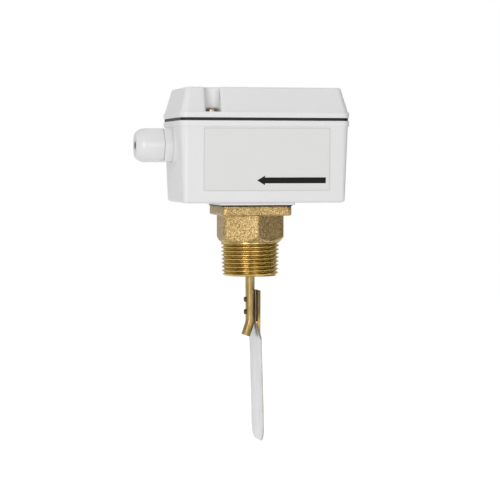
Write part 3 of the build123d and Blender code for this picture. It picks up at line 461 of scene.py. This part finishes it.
finishes = {
    moulded_abs: ("housing_base", "housing_lid"),
    moulded_polyamide: (
        "gland_body", "gland_cap_nut", "gland_locknut", "gland_thrust_ring", "gland_washer",
    ),
    phenolic_resin: ("snap_switch",),
    red_acetal: ("switch_plunger",),
    polyester_film: ("rating_label",),
    forged_brass: ("brass_body",),
    drawn_brass: ("paddle_rod",),
    darker_brass: ("clamp_bar",),
    turned_brass: ("lever_hub", "range_nut", "range_screw", "spring_seat"),
    phosphor_bronze: ("bellows",),
    rolled_stainless: ("paddle",),
    turned_stainless: ("pivot_pin",),
    stained_steel: ("paddle_screws",),
    zinc_plate: (
        "switch_frame", "lever", "lever_screws", "frame_screws", "switch_screws",
        "switch_nuts", "earth_clamp", "earth_screw",
    ),
    nickel_plate: ("terminal_plates", "terminal_screws"),
    spring_steel: ("range_spring", "range_clip", "pivot_clips"),
    black_epdm: ("lid_gasket", "flange_gasket", "gland_seal"),
}
for material, names in finishes.items():
    for name in names:
        mesh = nodes[name].data
        mesh.materials.clear()
        mesh.materials.append(material)

# Sheared edges of the paddle strip, with painted shade on its edges between the rod and the clamp,
# and painted shade on the bore of the gland's cap nut
painted_shade_above = -44.5 * MM
painted_shade_reach = 2.7 * MM
strip = nodes["paddle"].data
strip.materials.append(sheared_steel)
strip.materials.append(painted_shade_steel)
# Painted shade: the strip's edges above the clamp's foot, which lie in the shadow between the rod
# and the clamp, turn nearly black
for face in strip.polygons:
    if abs(face.normal.x) < 0.5:
        face.material_index = 2 if face.center.z > painted_shade_above else 1
# Painted shade in the gland's mouth: the cap nut's bore near its axis takes the black rubber,
# standing for the shadow down the hole
cap_low, cap_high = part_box("gland_cap_nut")
mouth = Vector((0, (cap_low.y + cap_high.y) / 2, (cap_low.z + cap_high.z) / 2))
cap = nodes["gland_cap_nut"].data
cap.materials.append(black_epdm)
for face in cap.polygons:
    middle = face.center
    from_axis = math.hypot(middle.y - mouth.y, middle.z - mouth.z)
    if from_axis < painted_shade_reach and abs(face.normal.x) < 0.5:
        face.material_index = 1

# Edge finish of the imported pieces: joined, softened, and smooth except at corners
shading = bpy.data.node_groups.new("smooth_but_for_corners", "GeometryNodeTree")
shading.interface.new_socket("Geometry", in_out="INPUT", socket_type="NodeSocketGeometry")
corner = shading.interface.new_socket("Corner", in_out="INPUT", socket_type="NodeSocketFloat")
shading.interface.new_socket("Geometry", in_out="OUTPUT", socket_type="NodeSocketGeometry")
corner.default_value = CORNER
group_in = add(shading, "NodeGroupInput")
bend = add(shading, "GeometryNodeInputMeshEdgeAngle")
soft = add(
    shading,
    "FunctionNodeCompare",
    {0: bend.outputs["Unsigned Angle"], 1: group_in.outputs["Corner"]},
    data_type="FLOAT",
    operation="LESS_THAN",
)
faces_smooth = add(
    shading, "GeometryNodeSetShadeSmooth", {"Geometry": group_in.outputs["Geometry"]}, domain="FACE"
)
edges_smooth = add(
    shading,
    "GeometryNodeSetShadeSmooth",
    {"Geometry": faces_smooth.outputs[0], "Shade Smooth": soft.outputs[0]},
    domain="EDGE",
)
add(shading, "NodeGroupOutput", {0: edges_smooth.outputs[0]})

# Width of the softened edges in mm, where it isn't the usual one; 0 leaves them as they are
edge_width = {
    "gland_body": 0.25, "gland_cap_nut": 0.3, "gland_locknut": 0.3, "gland_washer": 0,
    "gland_thrust_ring": 0.1, "gland_seal": 0.2, "lid_gasket": 0.25, "flange_gasket": 0,
    "paddle": 0.06, "clamp_bar": 0.15, "paddle_rod": 0.15, "rating_label": 0,
    "range_spring": 0, "bellows": 0, "range_clip": 0.06, "pivot_clips": 0.06,
    "snap_switch": 0.25, "switch_frame": 0.15, "lever_hub": 0.2,
}
usual_width = 0.12
join_distance = 0.002
flat_within = math.radians(0.6)
soften_from = math.radians(34)
for name, piece in nodes.items():
    weld = piece.modifiers.new("join", "WELD")
    weld.merge_threshold = join_distance * MM
    width = edge_width.get(name, usual_width)
    if width:
        flatten = piece.modifiers.new("flatten", "DECIMATE")
        flatten.decimate_type = "DISSOLVE"
        flatten.angle_limit = flat_within
        bevel = piece.modifiers.new("soften", "BEVEL")
        bevel.width = width * MM
        bevel.segments = 2
        bevel.limit_method = "ANGLE"
        bevel.angle_limit = soften_from
        bevel.harden_normals = False
    finish = piece.modifiers.new("shade", "NODES")
    finish.node_group = shading


def smooth_faces(mesh):
    """Shades a mesh smooth, apart from the edges where it turns a corner."""
    bm = bmesh.new()
    bm.from_mesh(mesh)
    for face in bm.faces:
        face.smooth = True
    for edge in bm.edges:
        edge.smooth = len(edge.link_faces) == 2 and edge.calc_face_angle(math.pi) < CORNER
    bm.to_mesh(mesh)
    bm.free()


def new_piece(name, mesh, slot, *replaced):
    """Puts a finished mesh into the scene and hides the nodes it stands for; the slot is not used.
    """
    smooth_faces(mesh)
    piece = bpy.data.objects.new(name, mesh)
    bpy.context.scene.collection.objects.link(piece)
    if replaced:
        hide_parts(*replaced)
    return piece


def ring_mesh(name, rings, columns, material):
    """A closed shell of rings; each ring is a function from an angle to (radius, height) in mm."""
    mesh = bpy.data.meshes.new(name)
    bm = bmesh.new()
    loops = []
    for ring in rings:
        loop = []
        for i in range(columns):
            angle = FULL_TURN * i / columns
            radius, height = ring(angle)
            place = Vector((radius * math.cos(angle), radius * math.sin(angle), height)) * MM
            loop.append(bm.verts.new(place))
        loops.append(loop)
    for below, above in zip(loops, loops[1:] + loops[:1]):
        for i in range(columns):
            j = (i + 1) % columns
            bm.faces.new((below[i], below[j], above[j], above[i]))
    bmesh.ops.remove_doubles(bm, verts=bm.verts, dist=0.001 * MM)
    bmesh.ops.recalc_face_normals(bm, faces=bm.faces)
    bm.to_mesh(mesh)
    bm.free()
    mesh.materials.append(material)
    return mesh


# Pipe thread: crests, pitch and taper of the one inch taper thread
crest_radius = 16.7
thread_pitch = 2.209
thread_depth = 1.55
thread_taper = 1 / 32
thread_bottom = -19.4
tip_radius = 15.0
tip_chamfer = 1.9
runout = 1.6
crest_land = 0.08
flank_share = 0.7
runout_floor = 0.12


def thread_radius(angle, height):
    """Radius of the cut thread, with its lead-in cone and its runout below the shoulder."""
    phase = (height / thread_pitch - angle / FULL_TURN) % 1.0
    flank = min(1.0, max(0.0, (abs(phase - 0.5) * 2 - crest_land) / flank_share))
    depth = thread_depth * (1 - flank) * min(1.0, max(runout_floor, -height / runout))
    cut = crest_radius + height * thread_taper - depth
    cone = tip_radius + (height - thread_bottom) / tip_chamfer * (crest_radius - tip_radius)
    return min(cut, cone)


# Hexagon, flange and bore of the same forging
hex_flats = 35.1
hex_height = 15.1
hex_chamfer_rate = 1.0
seat_radius = 17.1
flange_half = 19.85
flange_corner = 2.0
flange_top = 20.5
bore_radius = 10.5
bore_chamfer = 0.8
web_bottom = 17.5
web_hole = 5.0


def soft_min(a, b, blend):
    """The smaller of two, rounded off where they meet."""
    mix = max(0.0, min(1.0, 0.5 + 0.5 * (b - a) / blend))
    return b * (1 - mix) + a * mix - blend * mix * (1 - mix)


def hex_radius(angle, height):
    """Radius of the hexagon with worn corners, cut by the cone at its foot."""
    turn = (angle + math.pi / 6) % (math.pi / 3) - math.pi / 6
    side = hex_flats / 2 / math.cos(turn)
    corner = hex_flats / 2 / math.cos(math.pi / 6) - 0.35
    side = soft_min(side, corner, 0.4)
    cone = seat_radius + height * hex_chamfer_rate
    return soft_min(side, cone, 0.35)


def square_radius(angle, half, rounding):
    """Radius of a square with rounded corners."""
    turn = (angle + math.pi / 4) % (math.pi / 2) - math.pi / 4
    reach = half / math.cos(turn)
    inner = half - rounding
    along = abs(math.tan(turn)) * half
    if along > inner:
        diagonal = math.pi / 4 - abs(turn)
        centre = inner * math.sqrt(2)
        reach = centre * math.cos(diagonal) + math.sqrt(
            max(0.0, rounding**2 - (centre * math.sin(diagonal)) ** 2)
        )
    return reach


def thread_ring(height):
    return lambda angle: (thread_radius(angle, height), height)


def hex_ring(height):
    return lambda angle: (hex_radius(angle, height), height)


def flange_ring(height, inset):
    rounding = flange_corner - inset / 2
    return lambda angle: (square_radius(angle, flange_half - inset, rounding), height)


def plain_ring(radius, height):
    return lambda angle: (radius, height)


thread_rows = 150
fitting_rings = [plain_ring(bore_radius + bore_chamfer, thread_bottom)]
fitting_rings += [
    thread_ring(thread_bottom * (1 - row / thread_rows)) for row in range(thread_rows + 1)
]
fitting_rings += [plain_ring(seat_radius, 0)]
fitting_rings += [hex_ring(0.2 + 0.28 * row) for row in range(20)]
fitting_rings += [
    hex_ring(hex_height),
    flange_ring(hex_height, 0.9),
    flange_ring(hex_height + 0.12, 0.45),
    flange_ring(hex_height + 0.45, 0.12),
    flange_ring(hex_height + 0.9, 0),
    flange_ring(flange_top - 0.5, 0),
    flange_ring(flange_top - 0.15, 0.12),
    flange_ring(flange_top, 0.4),
    plain_ring(web_hole, flange_top),
    plain_ring(web_hole, web_bottom),
    plain_ring(bore_radius, web_bottom),
    plain_ring(bore_radius, thread_bottom + bore_chamfer),
]
fitting_columns = 144
fitting_mesh = ring_mesh("threaded_fitting", fitting_rings, fitting_columns, forged_brass)
fitting_mesh.materials.append(turned_brass)
for face in fitting_mesh.polygons:
    middle = face.center
    outside = math.hypot(middle.x, middle.y) > (bore_radius + 0.1) * MM
    if middle.z < -0.01 * MM and outside:
        face.material_index = 1
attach(new_piece("threaded_fitting", fitting_mesh, "brass", "brass_body"), "housing")

# Flow arrow printed on the label: a bare arrow that points against +X
label_low, label_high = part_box("rating_label")
film_thickness = 0.15 * MM
ink_height = 0.02 * MM
lean = (label_high.y - label_low.y - film_thickness) / (label_high.z - label_low.z)


def on_label(x, z):
    """A point just in front of the label's face, in metres."""
    return Vector((x, label_low.y + (label_high.z - z) * lean - ink_height, z))


arrow_z = 35.1
arrow_tail = 37.4
arrow_neck = 2.4
arrow_tip = -2.1
shaft_half = 1.65
head_half = 2.65
arrow = [
    (arrow_tail, arrow_z + shaft_half), (arrow_neck, arrow_z + shaft_half),
    (arrow_neck, arrow_z + head_half), (arrow_tip, arrow_z),
    (arrow_neck, arrow_z - head_half), (arrow_neck, arrow_z - shaft_half),
    (arrow_tail, arrow_z - shaft_half),
]
arrow_mesh = bpy.data.meshes.new("flow_arrow")
arrow_mesh.from_pydata(
    [on_label(x * MM, z * MM) for x, z in arrow], [], [tuple(range(len(arrow)))]
)
arrow_mesh.materials.append(printing_ink)
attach(new_piece("flow_arrow", arrow_mesh, "black_plastic"), "housing")

# Thin line printed round the label, a little inside its edge
line_inset = 0.35 * MM
line_width = 0.4 * MM
line_corners = []
for inset in (line_inset, line_inset + line_width):
    for x, z in (
        (label_low.x + inset, label_low.z + inset), (label_high.x - inset, label_low.z + inset),
        (label_high.x - inset, label_high.z - inset), (label_low.x + inset, label_high.z - inset),
    ):
        line_corners.append(on_label(x, z))
border_mesh = bpy.data.meshes.new("label_border")
border_mesh.from_pydata(
    line_corners, [], [(i, (i + 1) % 4, (i + 1) % 4 + 4, i + 4) for i in range(4)]
)
border_mesh.materials.append(grey_ink)
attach(new_piece("label_border", border_mesh, "label_film"), "housing")


def size_tree(name, sizes):
    """A geometry node tree with an input for each named size, and its input node's outputs."""
    tree = bpy.data.node_groups.new(name, "GeometryNodeTree")
    for label, kind, value in sizes:
        socket = tree.interface.new_socket(label, in_out="INPUT", socket_type="NodeSocket" + kind)
        if value is not None:
            socket.default_value = value
    tree.interface.new_socket("Geometry", in_out="OUTPUT", socket_type="NodeSocketGeometry")
    return tree, add(tree, "NodeGroupInput").outputs


def grown_mesh(name, tree, seats, sizes):
    """The plain mesh that a node tree grows on seat points, with its inputs set by name."""
    seat_mesh = bpy.data.meshes.new(name)
    seat_mesh.from_pydata(seats, [], [])
    holder = bpy.data.objects.new(name + "_seats", seat_mesh)
    bpy.context.scene.collection.objects.link(holder)
    growth = holder.modifiers.new("growth", "NODES")
    growth.node_group = tree
    sockets = {
        item.name: item.identifier
        for item in tree.interface.items_tree
        if item.item_type == "SOCKET" and item.in_out == "INPUT"
    }
    for label, value in sizes.items():
        growth[sockets[label]] = value
    ready = holder.evaluated_get(bpy.context.evaluated_depsgraph_get())
    mesh = bpy.data.meshes.new_from_object(ready)
    mesh.name = name
    bpy.data.objects.remove(holder)
    return mesh


# Threaded shank: a grid rolled into a tube, its radius cut by the thread's profile
shank_tree, given = size_tree(
    "threaded_shank",
    (
        ("Radius", "Float", 0.002),
        ("Depth", "Float", 0.0004),
        ("Length", "Float", 0.01),
        ("Pitch", "Float", 0.0007),
    ),
)
turns = add(
    shank_tree, "ShaderNodeMath", {0: given["Length"], 1: given["Pitch"]}, operation="DIVIDE"
)
rows = add(
    shank_tree, "ShaderNodeMath", {0: turns.outputs[0], 1: 6.0, 2: 2.0}, operation="MULTIPLY_ADD"
)
sheet = add(
    shank_tree,
    "GeometryNodeMeshGrid",
    {"Size X": 1.0, "Size Y": 1.0, "Vertices X": 25, "Vertices Y": rows.outputs[0]},
)
spot = add(shank_tree, "GeometryNodeInputPosition")
place = add(shank_tree, "ShaderNodeSeparateXYZ", {0: spot.outputs[0]})
angle = add(
    shank_tree, "ShaderNodeMath", {0: place.outputs["X"], 1: FULL_TURN}, operation="MULTIPLY"
)
share = add(shank_tree, "ShaderNodeMath", {0: 0.5, 1: place.outputs["Y"]}, operation="SUBTRACT")
drop = add(
    shank_tree, "ShaderNodeMath", {0: share.outputs[0], 1: given["Length"]}, operation="MULTIPLY"
)
wound = add(
    shank_tree, "ShaderNodeMath", {0: drop.outputs[0], 1: given["Pitch"]}, operation="DIVIDE"
)
phase = add(
    shank_tree, "ShaderNodeMath", {0: wound.outputs[0], 1: place.outputs["X"]}, operation="ADD"
)
loop = add(shank_tree, "ShaderNodeMath", {0: phase.outputs[0]}, operation="FRACT")
tooth = add(shank_tree, "ShaderNodeMath", {0: loop.outputs[0], 1: 0.5}, operation="PINGPONG")
root = add(
    shank_tree, "ShaderNodeMath", {0: given["Radius"], 1: given["Depth"]}, operation="SUBTRACT"
)
twice = add(shank_tree, "ShaderNodeMath", {0: given["Depth"], 1: 2.0}, operation="MULTIPLY")
cut = add(
    shank_tree,
    "ShaderNodeMath",
    {0: tooth.outputs[0], 1: twice.outputs[0], 2: root.outputs[0]},
    operation="MULTIPLY_ADD",
)
left = add(
    shank_tree, "ShaderNodeMath", {0: given["Length"], 1: drop.outputs[0]}, operation="SUBTRACT"
)
cone = add(shank_tree, "ShaderNodeMath", {0: root.outputs[0], 1: left.outputs[0]}, operation="ADD")
pointed = add(
    shank_tree, "ShaderNodeMath", {0: cut.outputs[0], 1: cone.outputs[0]}, operation="MINIMUM"
)
far = add(shank_tree, "ShaderNodeMath", {0: place.outputs["Y"]}, operation="ABSOLUTE")
inner = add(shank_tree, "ShaderNodeMath", {0: far.outputs[0], 1: 0.4999}, operation="LESS_THAN")
radius = add(
    shank_tree, "ShaderNodeMath", {0: pointed.outputs[0], 1: inner.outputs[0]}, operation="MULTIPLY"
)
height = add(shank_tree, "ShaderNodeMath", {0: drop.outputs[0], 1: -1.0}, operation="MULTIPLY")
arm = add(
    shank_tree, "ShaderNodeCombineXYZ", {"X": radius.outputs[0], "Z": height.outputs[0]}
)
rolled = add(
    shank_tree,
    "ShaderNodeVectorRotate",
    {"Vector": arm.outputs[0], "Angle": angle.outputs[0]},
    rotation_type="Z_AXIS",
)
tube = add(
    shank_tree,
    "GeometryNodeSetPosition",
    {"Geometry": sheet.outputs["Mesh"], "Position": rolled.outputs[0]},
)
joined = add(
    shank_tree, "GeometryNodeMergeByDistance", {"Geometry": tube.outputs[0], "Distance": 1e-6}
)
add(shank_tree, "NodeGroupOutput", {0: joined.outputs[0]})

# Pan head screw: a rounded head with a driver recess, on a threaded shank, set on each seat
screw_tree, given = size_tree(
    "pan_head_screw",
    (
        ("Seats", "Geometry", None),
        ("Head Radius", "Float", 0.0034),
        ("Head Height", "Float", 0.0024),
        ("Shank Radius", "Float", 0.002),
        ("Length", "Float", 0.01),
        ("Pitch", "Float", 0.0007),
        ("Recess Width", "Float", 0.0009),
        ("Recess Reach", "Float", 0.002),
        ("Recess Depth", "Float", 0.0012),
        ("Cross", "Bool", True),
        ("Axis", "Vector", (0, 0, 1)),
        ("Material", "Material", None),
    ),
)
dome_rows = 12
disc = add(
    screw_tree,
    "GeometryNodeMeshGrid",
    {"Size X": 1.0, "Size Y": 1.0, "Vertices X": 41, "Vertices Y": dome_rows + 1},
)
spot = add(screw_tree, "GeometryNodeInputPosition")
place = add(screw_tree, "ShaderNodeSeparateXYZ", {0: spot.outputs[0]})
angle = add(
    screw_tree, "ShaderNodeMath", {0: place.outputs["X"], 1: FULL_TURN}, operation="MULTIPLY"
)
share = add(screw_tree, "ShaderNodeMath", {0: 0.5, 1: place.outputs["Y"]}, operation="SUBTRACT")
sweep = add(
    screw_tree,
    "ShaderNodeMath",
    {0: share.outputs[0], 1: dome_rows / (dome_rows - 1) * math.pi / 2},
    operation="MULTIPLY",
)
slope = add(
    screw_tree, "ShaderNodeMath", {0: sweep.outputs[0], 1: math.pi / 2}, operation="MINIMUM"
)
out_part = add(screw_tree, "ShaderNodeMath", {0: slope.outputs[0]}, operation="SINE")
out_full = add(screw_tree, "ShaderNodeMath", {0: out_part.outputs[0], 1: 0.5}, operation="POWER")
inner = add(screw_tree, "ShaderNodeMath", {0: share.outputs[0], 1: 0.999}, operation="LESS_THAN")
reach = add(
    screw_tree,
    "ShaderNodeMath",
    {0: out_full.outputs[0], 1: inner.outputs[0]},
    operation="MULTIPLY",
)
radius = add(
    screw_tree,
    "ShaderNodeMath",
    {0: reach.outputs[0], 1: given["Head Radius"]},
    operation="MULTIPLY",
)
up_part = add(screw_tree, "ShaderNodeMath", {0: slope.outputs[0]}, operation="COSINE")
up_safe = add(screw_tree, "ShaderNodeMath", {0: up_part.outputs[0], 1: 0.0}, operation="MAXIMUM")
up_full = add(screw_tree, "ShaderNodeMath", {0: up_safe.outputs[0], 1: 0.45}, operation="POWER")
height = add(
    screw_tree,
    "ShaderNodeMath",
    {0: up_full.outputs[0], 1: given["Head Height"]},
    operation="MULTIPLY",
)
arm = add(screw_tree, "ShaderNodeCombineXYZ", {"X": radius.outputs[0], "Z": height.outputs[0]})
rolled = add(
    screw_tree,
    "ShaderNodeVectorRotate",
    {"Vector": arm.outputs[0], "Angle": angle.outputs[0]},
    rotation_type="Z_AXIS",
)
dome = add(
    screw_tree,
    "GeometryNodeSetPosition",
    {"Geometry": disc.outputs["Mesh"], "Position": rolled.outputs[0]},
)
head = add(
    screw_tree, "GeometryNodeMergeByDistance", {"Geometry": dome.outputs[0], "Distance": 1e-6}
)
long_side = add(
    screw_tree, "ShaderNodeMath", {0: given["Recess Reach"], 1: 2.0}, operation="MULTIPLY"
)
deep_side = add(
    screw_tree, "ShaderNodeMath", {0: given["Recess Depth"], 1: 2.0}, operation="MULTIPLY"
)
blade_size = add(
    screw_tree,
    "ShaderNodeCombineXYZ",
    {"X": long_side.outputs[0], "Y": given["Recess Width"], "Z": deep_side.outputs[0]},
)
blade = add(screw_tree, "GeometryNodeMeshCube", {"Size": blade_size.outputs[0]})
lift = add(screw_tree, "ShaderNodeCombineXYZ", {"Z": given["Head Height"]})
first_blade = add(
    screw_tree,
    "GeometryNodeTransform",
    {"Geometry": blade.outputs["Mesh"], "Translation": lift.outputs[0]},
)
second_blade = add(
    screw_tree,
    "GeometryNodeTransform",
    {"Geometry": first_blade.outputs[0], "Rotation": (0, 0, math.pi / 2)},
)
crossed = add(
    screw_tree,
    "GeometryNodeSwitch",
    {"Switch": given["Cross"], "False": first_blade.outputs[0], "True": second_blade.outputs[0]},
    input_type="GEOMETRY",
)
slotted = add(
    screw_tree,
    "GeometryNodeMeshBoolean",
    {"Mesh 1": head.outputs[0], "Mesh 2": first_blade.outputs[0]},
    operation="DIFFERENCE",
)
recessed = add(
    screw_tree,
    "GeometryNodeMeshBoolean",
    {"Mesh 1": slotted.outputs[0], "Mesh 2": crossed.outputs[0]},
    operation="DIFFERENCE",
)
deep_cut = add(
    screw_tree, "ShaderNodeMath", {0: given["Pitch"], 1: 0.58}, operation="MULTIPLY"
)
shank = add(screw_tree, "GeometryNodeGroup", node_tree=shank_tree)
for label, source in (
    ("Radius", given["Shank Radius"]),
    ("Depth", deep_cut.outputs[0]),
    ("Length", given["Length"]),
    ("Pitch", given["Pitch"]),
):
    screw_tree.links.new(source, shank.inputs[label])
whole = add(screw_tree, "GeometryNodeJoinGeometry", {0: recessed.outputs[0]})
screw_tree.links.new(shank.outputs[0], whole.inputs[0])
facing = add(
    screw_tree, "FunctionNodeAlignRotationToVector", {"Vector": given["Axis"]}, axis="Z"
)
screws = add(
    screw_tree,
    "GeometryNodeInstanceOnPoints",
    {"Points": given["Seats"], "Instance": whole.outputs[0], "Rotation": facing.outputs[0]},
)
real = add(screw_tree, "GeometryNodeRealizeInstances", {"Geometry": screws.outputs[0]})
painted = add(
    screw_tree,
    "GeometryNodeSetMaterial",
    {"Geometry": real.outputs[0], "Material": given["Material"]},
)
add(screw_tree, "NodeGroupOutput", {0: painted.outputs[0]})

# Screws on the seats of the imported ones: body, slot, finish, sizes in mm (head radius, head
# height, shank radius, pitch, recess width, reach and depth, cross or slot) and the axis
screw_kinds = {
    "lid_screw_front": ("lid_screw_front", "stainless_steel", passivated_steel,
                        (3.4, 2.8, 2.0, 0.7, 0.8, 2.0, 1.5, True), (0, 0, 1)),
    "lid_screw_rear": ("lid_screw_rear", "stainless_steel", passivated_steel,
                       (3.4, 2.8, 2.0, 0.7, 0.8, 2.0, 1.5, True), (0, 0, 1)),
    "frame_screws": ("housing", "plated_steel", zinc_plate,
                     (3.75, 2.4, 2.0, 0.7, 0.9, 2.2, 1.3, True), (0, 0, 1)),
    "lever_screws": ("paddle_arm", "plated_steel", zinc_plate,
                     (2.6, 1.8, 1.5, 0.5, 0.7, 1.5, 1.0, True), (0, 0, 1)),
    "terminal_screws": ("housing", "terminal_metal", nickel_plate,
                        (3.2, 2.1, 1.75, 0.6, 0.9, 3.4, 1.0, False), (0, 0, 1)),
    "earth_screw": ("housing", "plated_steel", zinc_plate,
                    (3.5, 2.3, 2.0, 0.7, 0.9, 2.1, 1.3, True), (0, 0, 1)),
    "switch_screws": ("housing", "plated_steel", zinc_plate,
                      (2.75, 2.0, 1.5, 0.5, 0.8, 3.0, 1.0, False), (0, -1, 0)),
}
# Columns along X and rows along Y of the nodes that hold more than one screw
screw_counts = {
    "frame_screws": (2, 2), "lever_screws": (2, 1), "terminal_screws": (3, 1),
    "switch_screws": (2, 1),
}
for node, (body, slot, finish, sizes, axis) in screw_kinds.items():
    head_radius, head_height, shank_radius, pitch, width, reach_mm, depth_mm, cross = sizes
    low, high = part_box(node)
    inset = head_radius * MM
    columns, rows = screw_counts.get(node, (1, 1))
    columns_x = [
        low.x + inset + i * (high.x - low.x - 2 * inset) / max(1, columns - 1)
        for i in range(columns)
    ]
    if axis[2]:
        length = high.z - low.z - head_height * MM
        rows_y = [
            low.y + inset + i * (high.y - low.y - 2 * inset) / max(1, rows - 1)
            for i in range(rows)
        ]
        seats = [(x, y, high.z - head_height * MM) for x in columns_x for y in rows_y]
    else:
        length = high.y - low.y - head_height * MM
        seats = [(x, low.y + head_height * MM, (low.z + high.z) / 2) for x in columns_x]
    screw_mesh = grown_mesh(
        node,
        screw_tree,
        seats,
        {
            "Head Radius": head_radius * MM,
            "Head Height": head_height * MM,
            "Shank Radius": shank_radius * MM,
            "Length": length,
            "Pitch": pitch * MM,
            "Recess Width": width * MM,
            "Recess Reach": reach_mm * MM,
            "Recess Depth": depth_mm * MM,
            "Cross": cross,
            "Axis": axis,
            "Material": finish,
        },
    )
    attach(new_piece("threaded_" + node, screw_mesh, slot, node), body)

# Range spring: a wound wire in two halves that meet at mid height
spring_tree, given = size_tree(
    "coil_spring",
    (
        ("Seats", "Geometry", None),
        ("Radius", "Float", 0.004),
        ("Wire", "Float", 0.0009),
        ("Turns", "Float", 2.0),
        ("Height", "Float", 0.005),
        ("Material", "Material", None),
    ),
)
wound = add(
    spring_tree,
    "GeometryNodeCurveSpiral",
    {"Resolution": 40, "Rotations": given["Turns"], "Start Radius": given["Radius"],
     "End Radius": given["Radius"], "Height": given["Height"]},
)
half_wire = add(
    spring_tree, "ShaderNodeMath", {0: given["Wire"], 1: 0.5}, operation="MULTIPLY"
)
section = add(
    spring_tree,
    "GeometryNodeCurvePrimitiveCircle",
    {"Resolution": 12, "Radius": half_wire.outputs[0]},
)
wire = add(
    spring_tree,
    "GeometryNodeCurveToMesh",
    {"Curve": wound.outputs["Curve"], "Profile Curve": section.outputs["Curve"], "Fill Caps": True},
)
coils = add(
    spring_tree,
    "GeometryNodeInstanceOnPoints",
    {"Points": given["Seats"], "Instance": wire.outputs["Mesh"]},
)
real = add(spring_tree, "GeometryNodeRealizeInstances", {"Geometry": coils.outputs[0]})
painted = add(
    spring_tree,
    "GeometryNodeSetMaterial",
    {"Geometry": real.outputs[0], "Material": given["Material"]},
)
add(spring_tree, "NodeGroupOutput", {0: painted.outputs[0]})

spring_low, spring_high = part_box("range_spring")
wire_across = 0.9 * MM
coil_radius = 4.0 * MM
turns_each = 2.0
coil_x = (spring_low.x + spring_high.x) / 2
coil_y = (spring_low.y + spring_high.y) / 2
coil_bottom = spring_low.z + wire_across / 2
coil_top = spring_high.z - wire_across / 2
coil_middle = (coil_bottom + coil_top) / 2
for name, floor_z, bodies, bend_from, bend_to in (
    ("spring_lower_half", coil_bottom, ("housing", "paddle_arm"), coil_middle, coil_bottom),
    ("spring_upper_half", coil_middle, ("housing", "range_nut"), coil_middle, coil_top),
):
    half_mesh = grown_mesh(
        name,
        spring_tree,
        [(coil_x, coil_y, floor_z)],
        {
            "Radius": coil_radius,
            "Wire": wire_across,
            "Turns": turns_each,
            "Height": coil_middle - coil_bottom,
            "Material": spring_steel,
        },
    )
    half = new_piece(name, half_mesh, "spring_steel", "range_spring")
    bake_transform(half)

# Bellows: a copy of the imported one
bellows = new_piece("flexing_bellows", nodes["bellows"].data.copy(), "bronze", "bellows")
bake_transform(bellows)
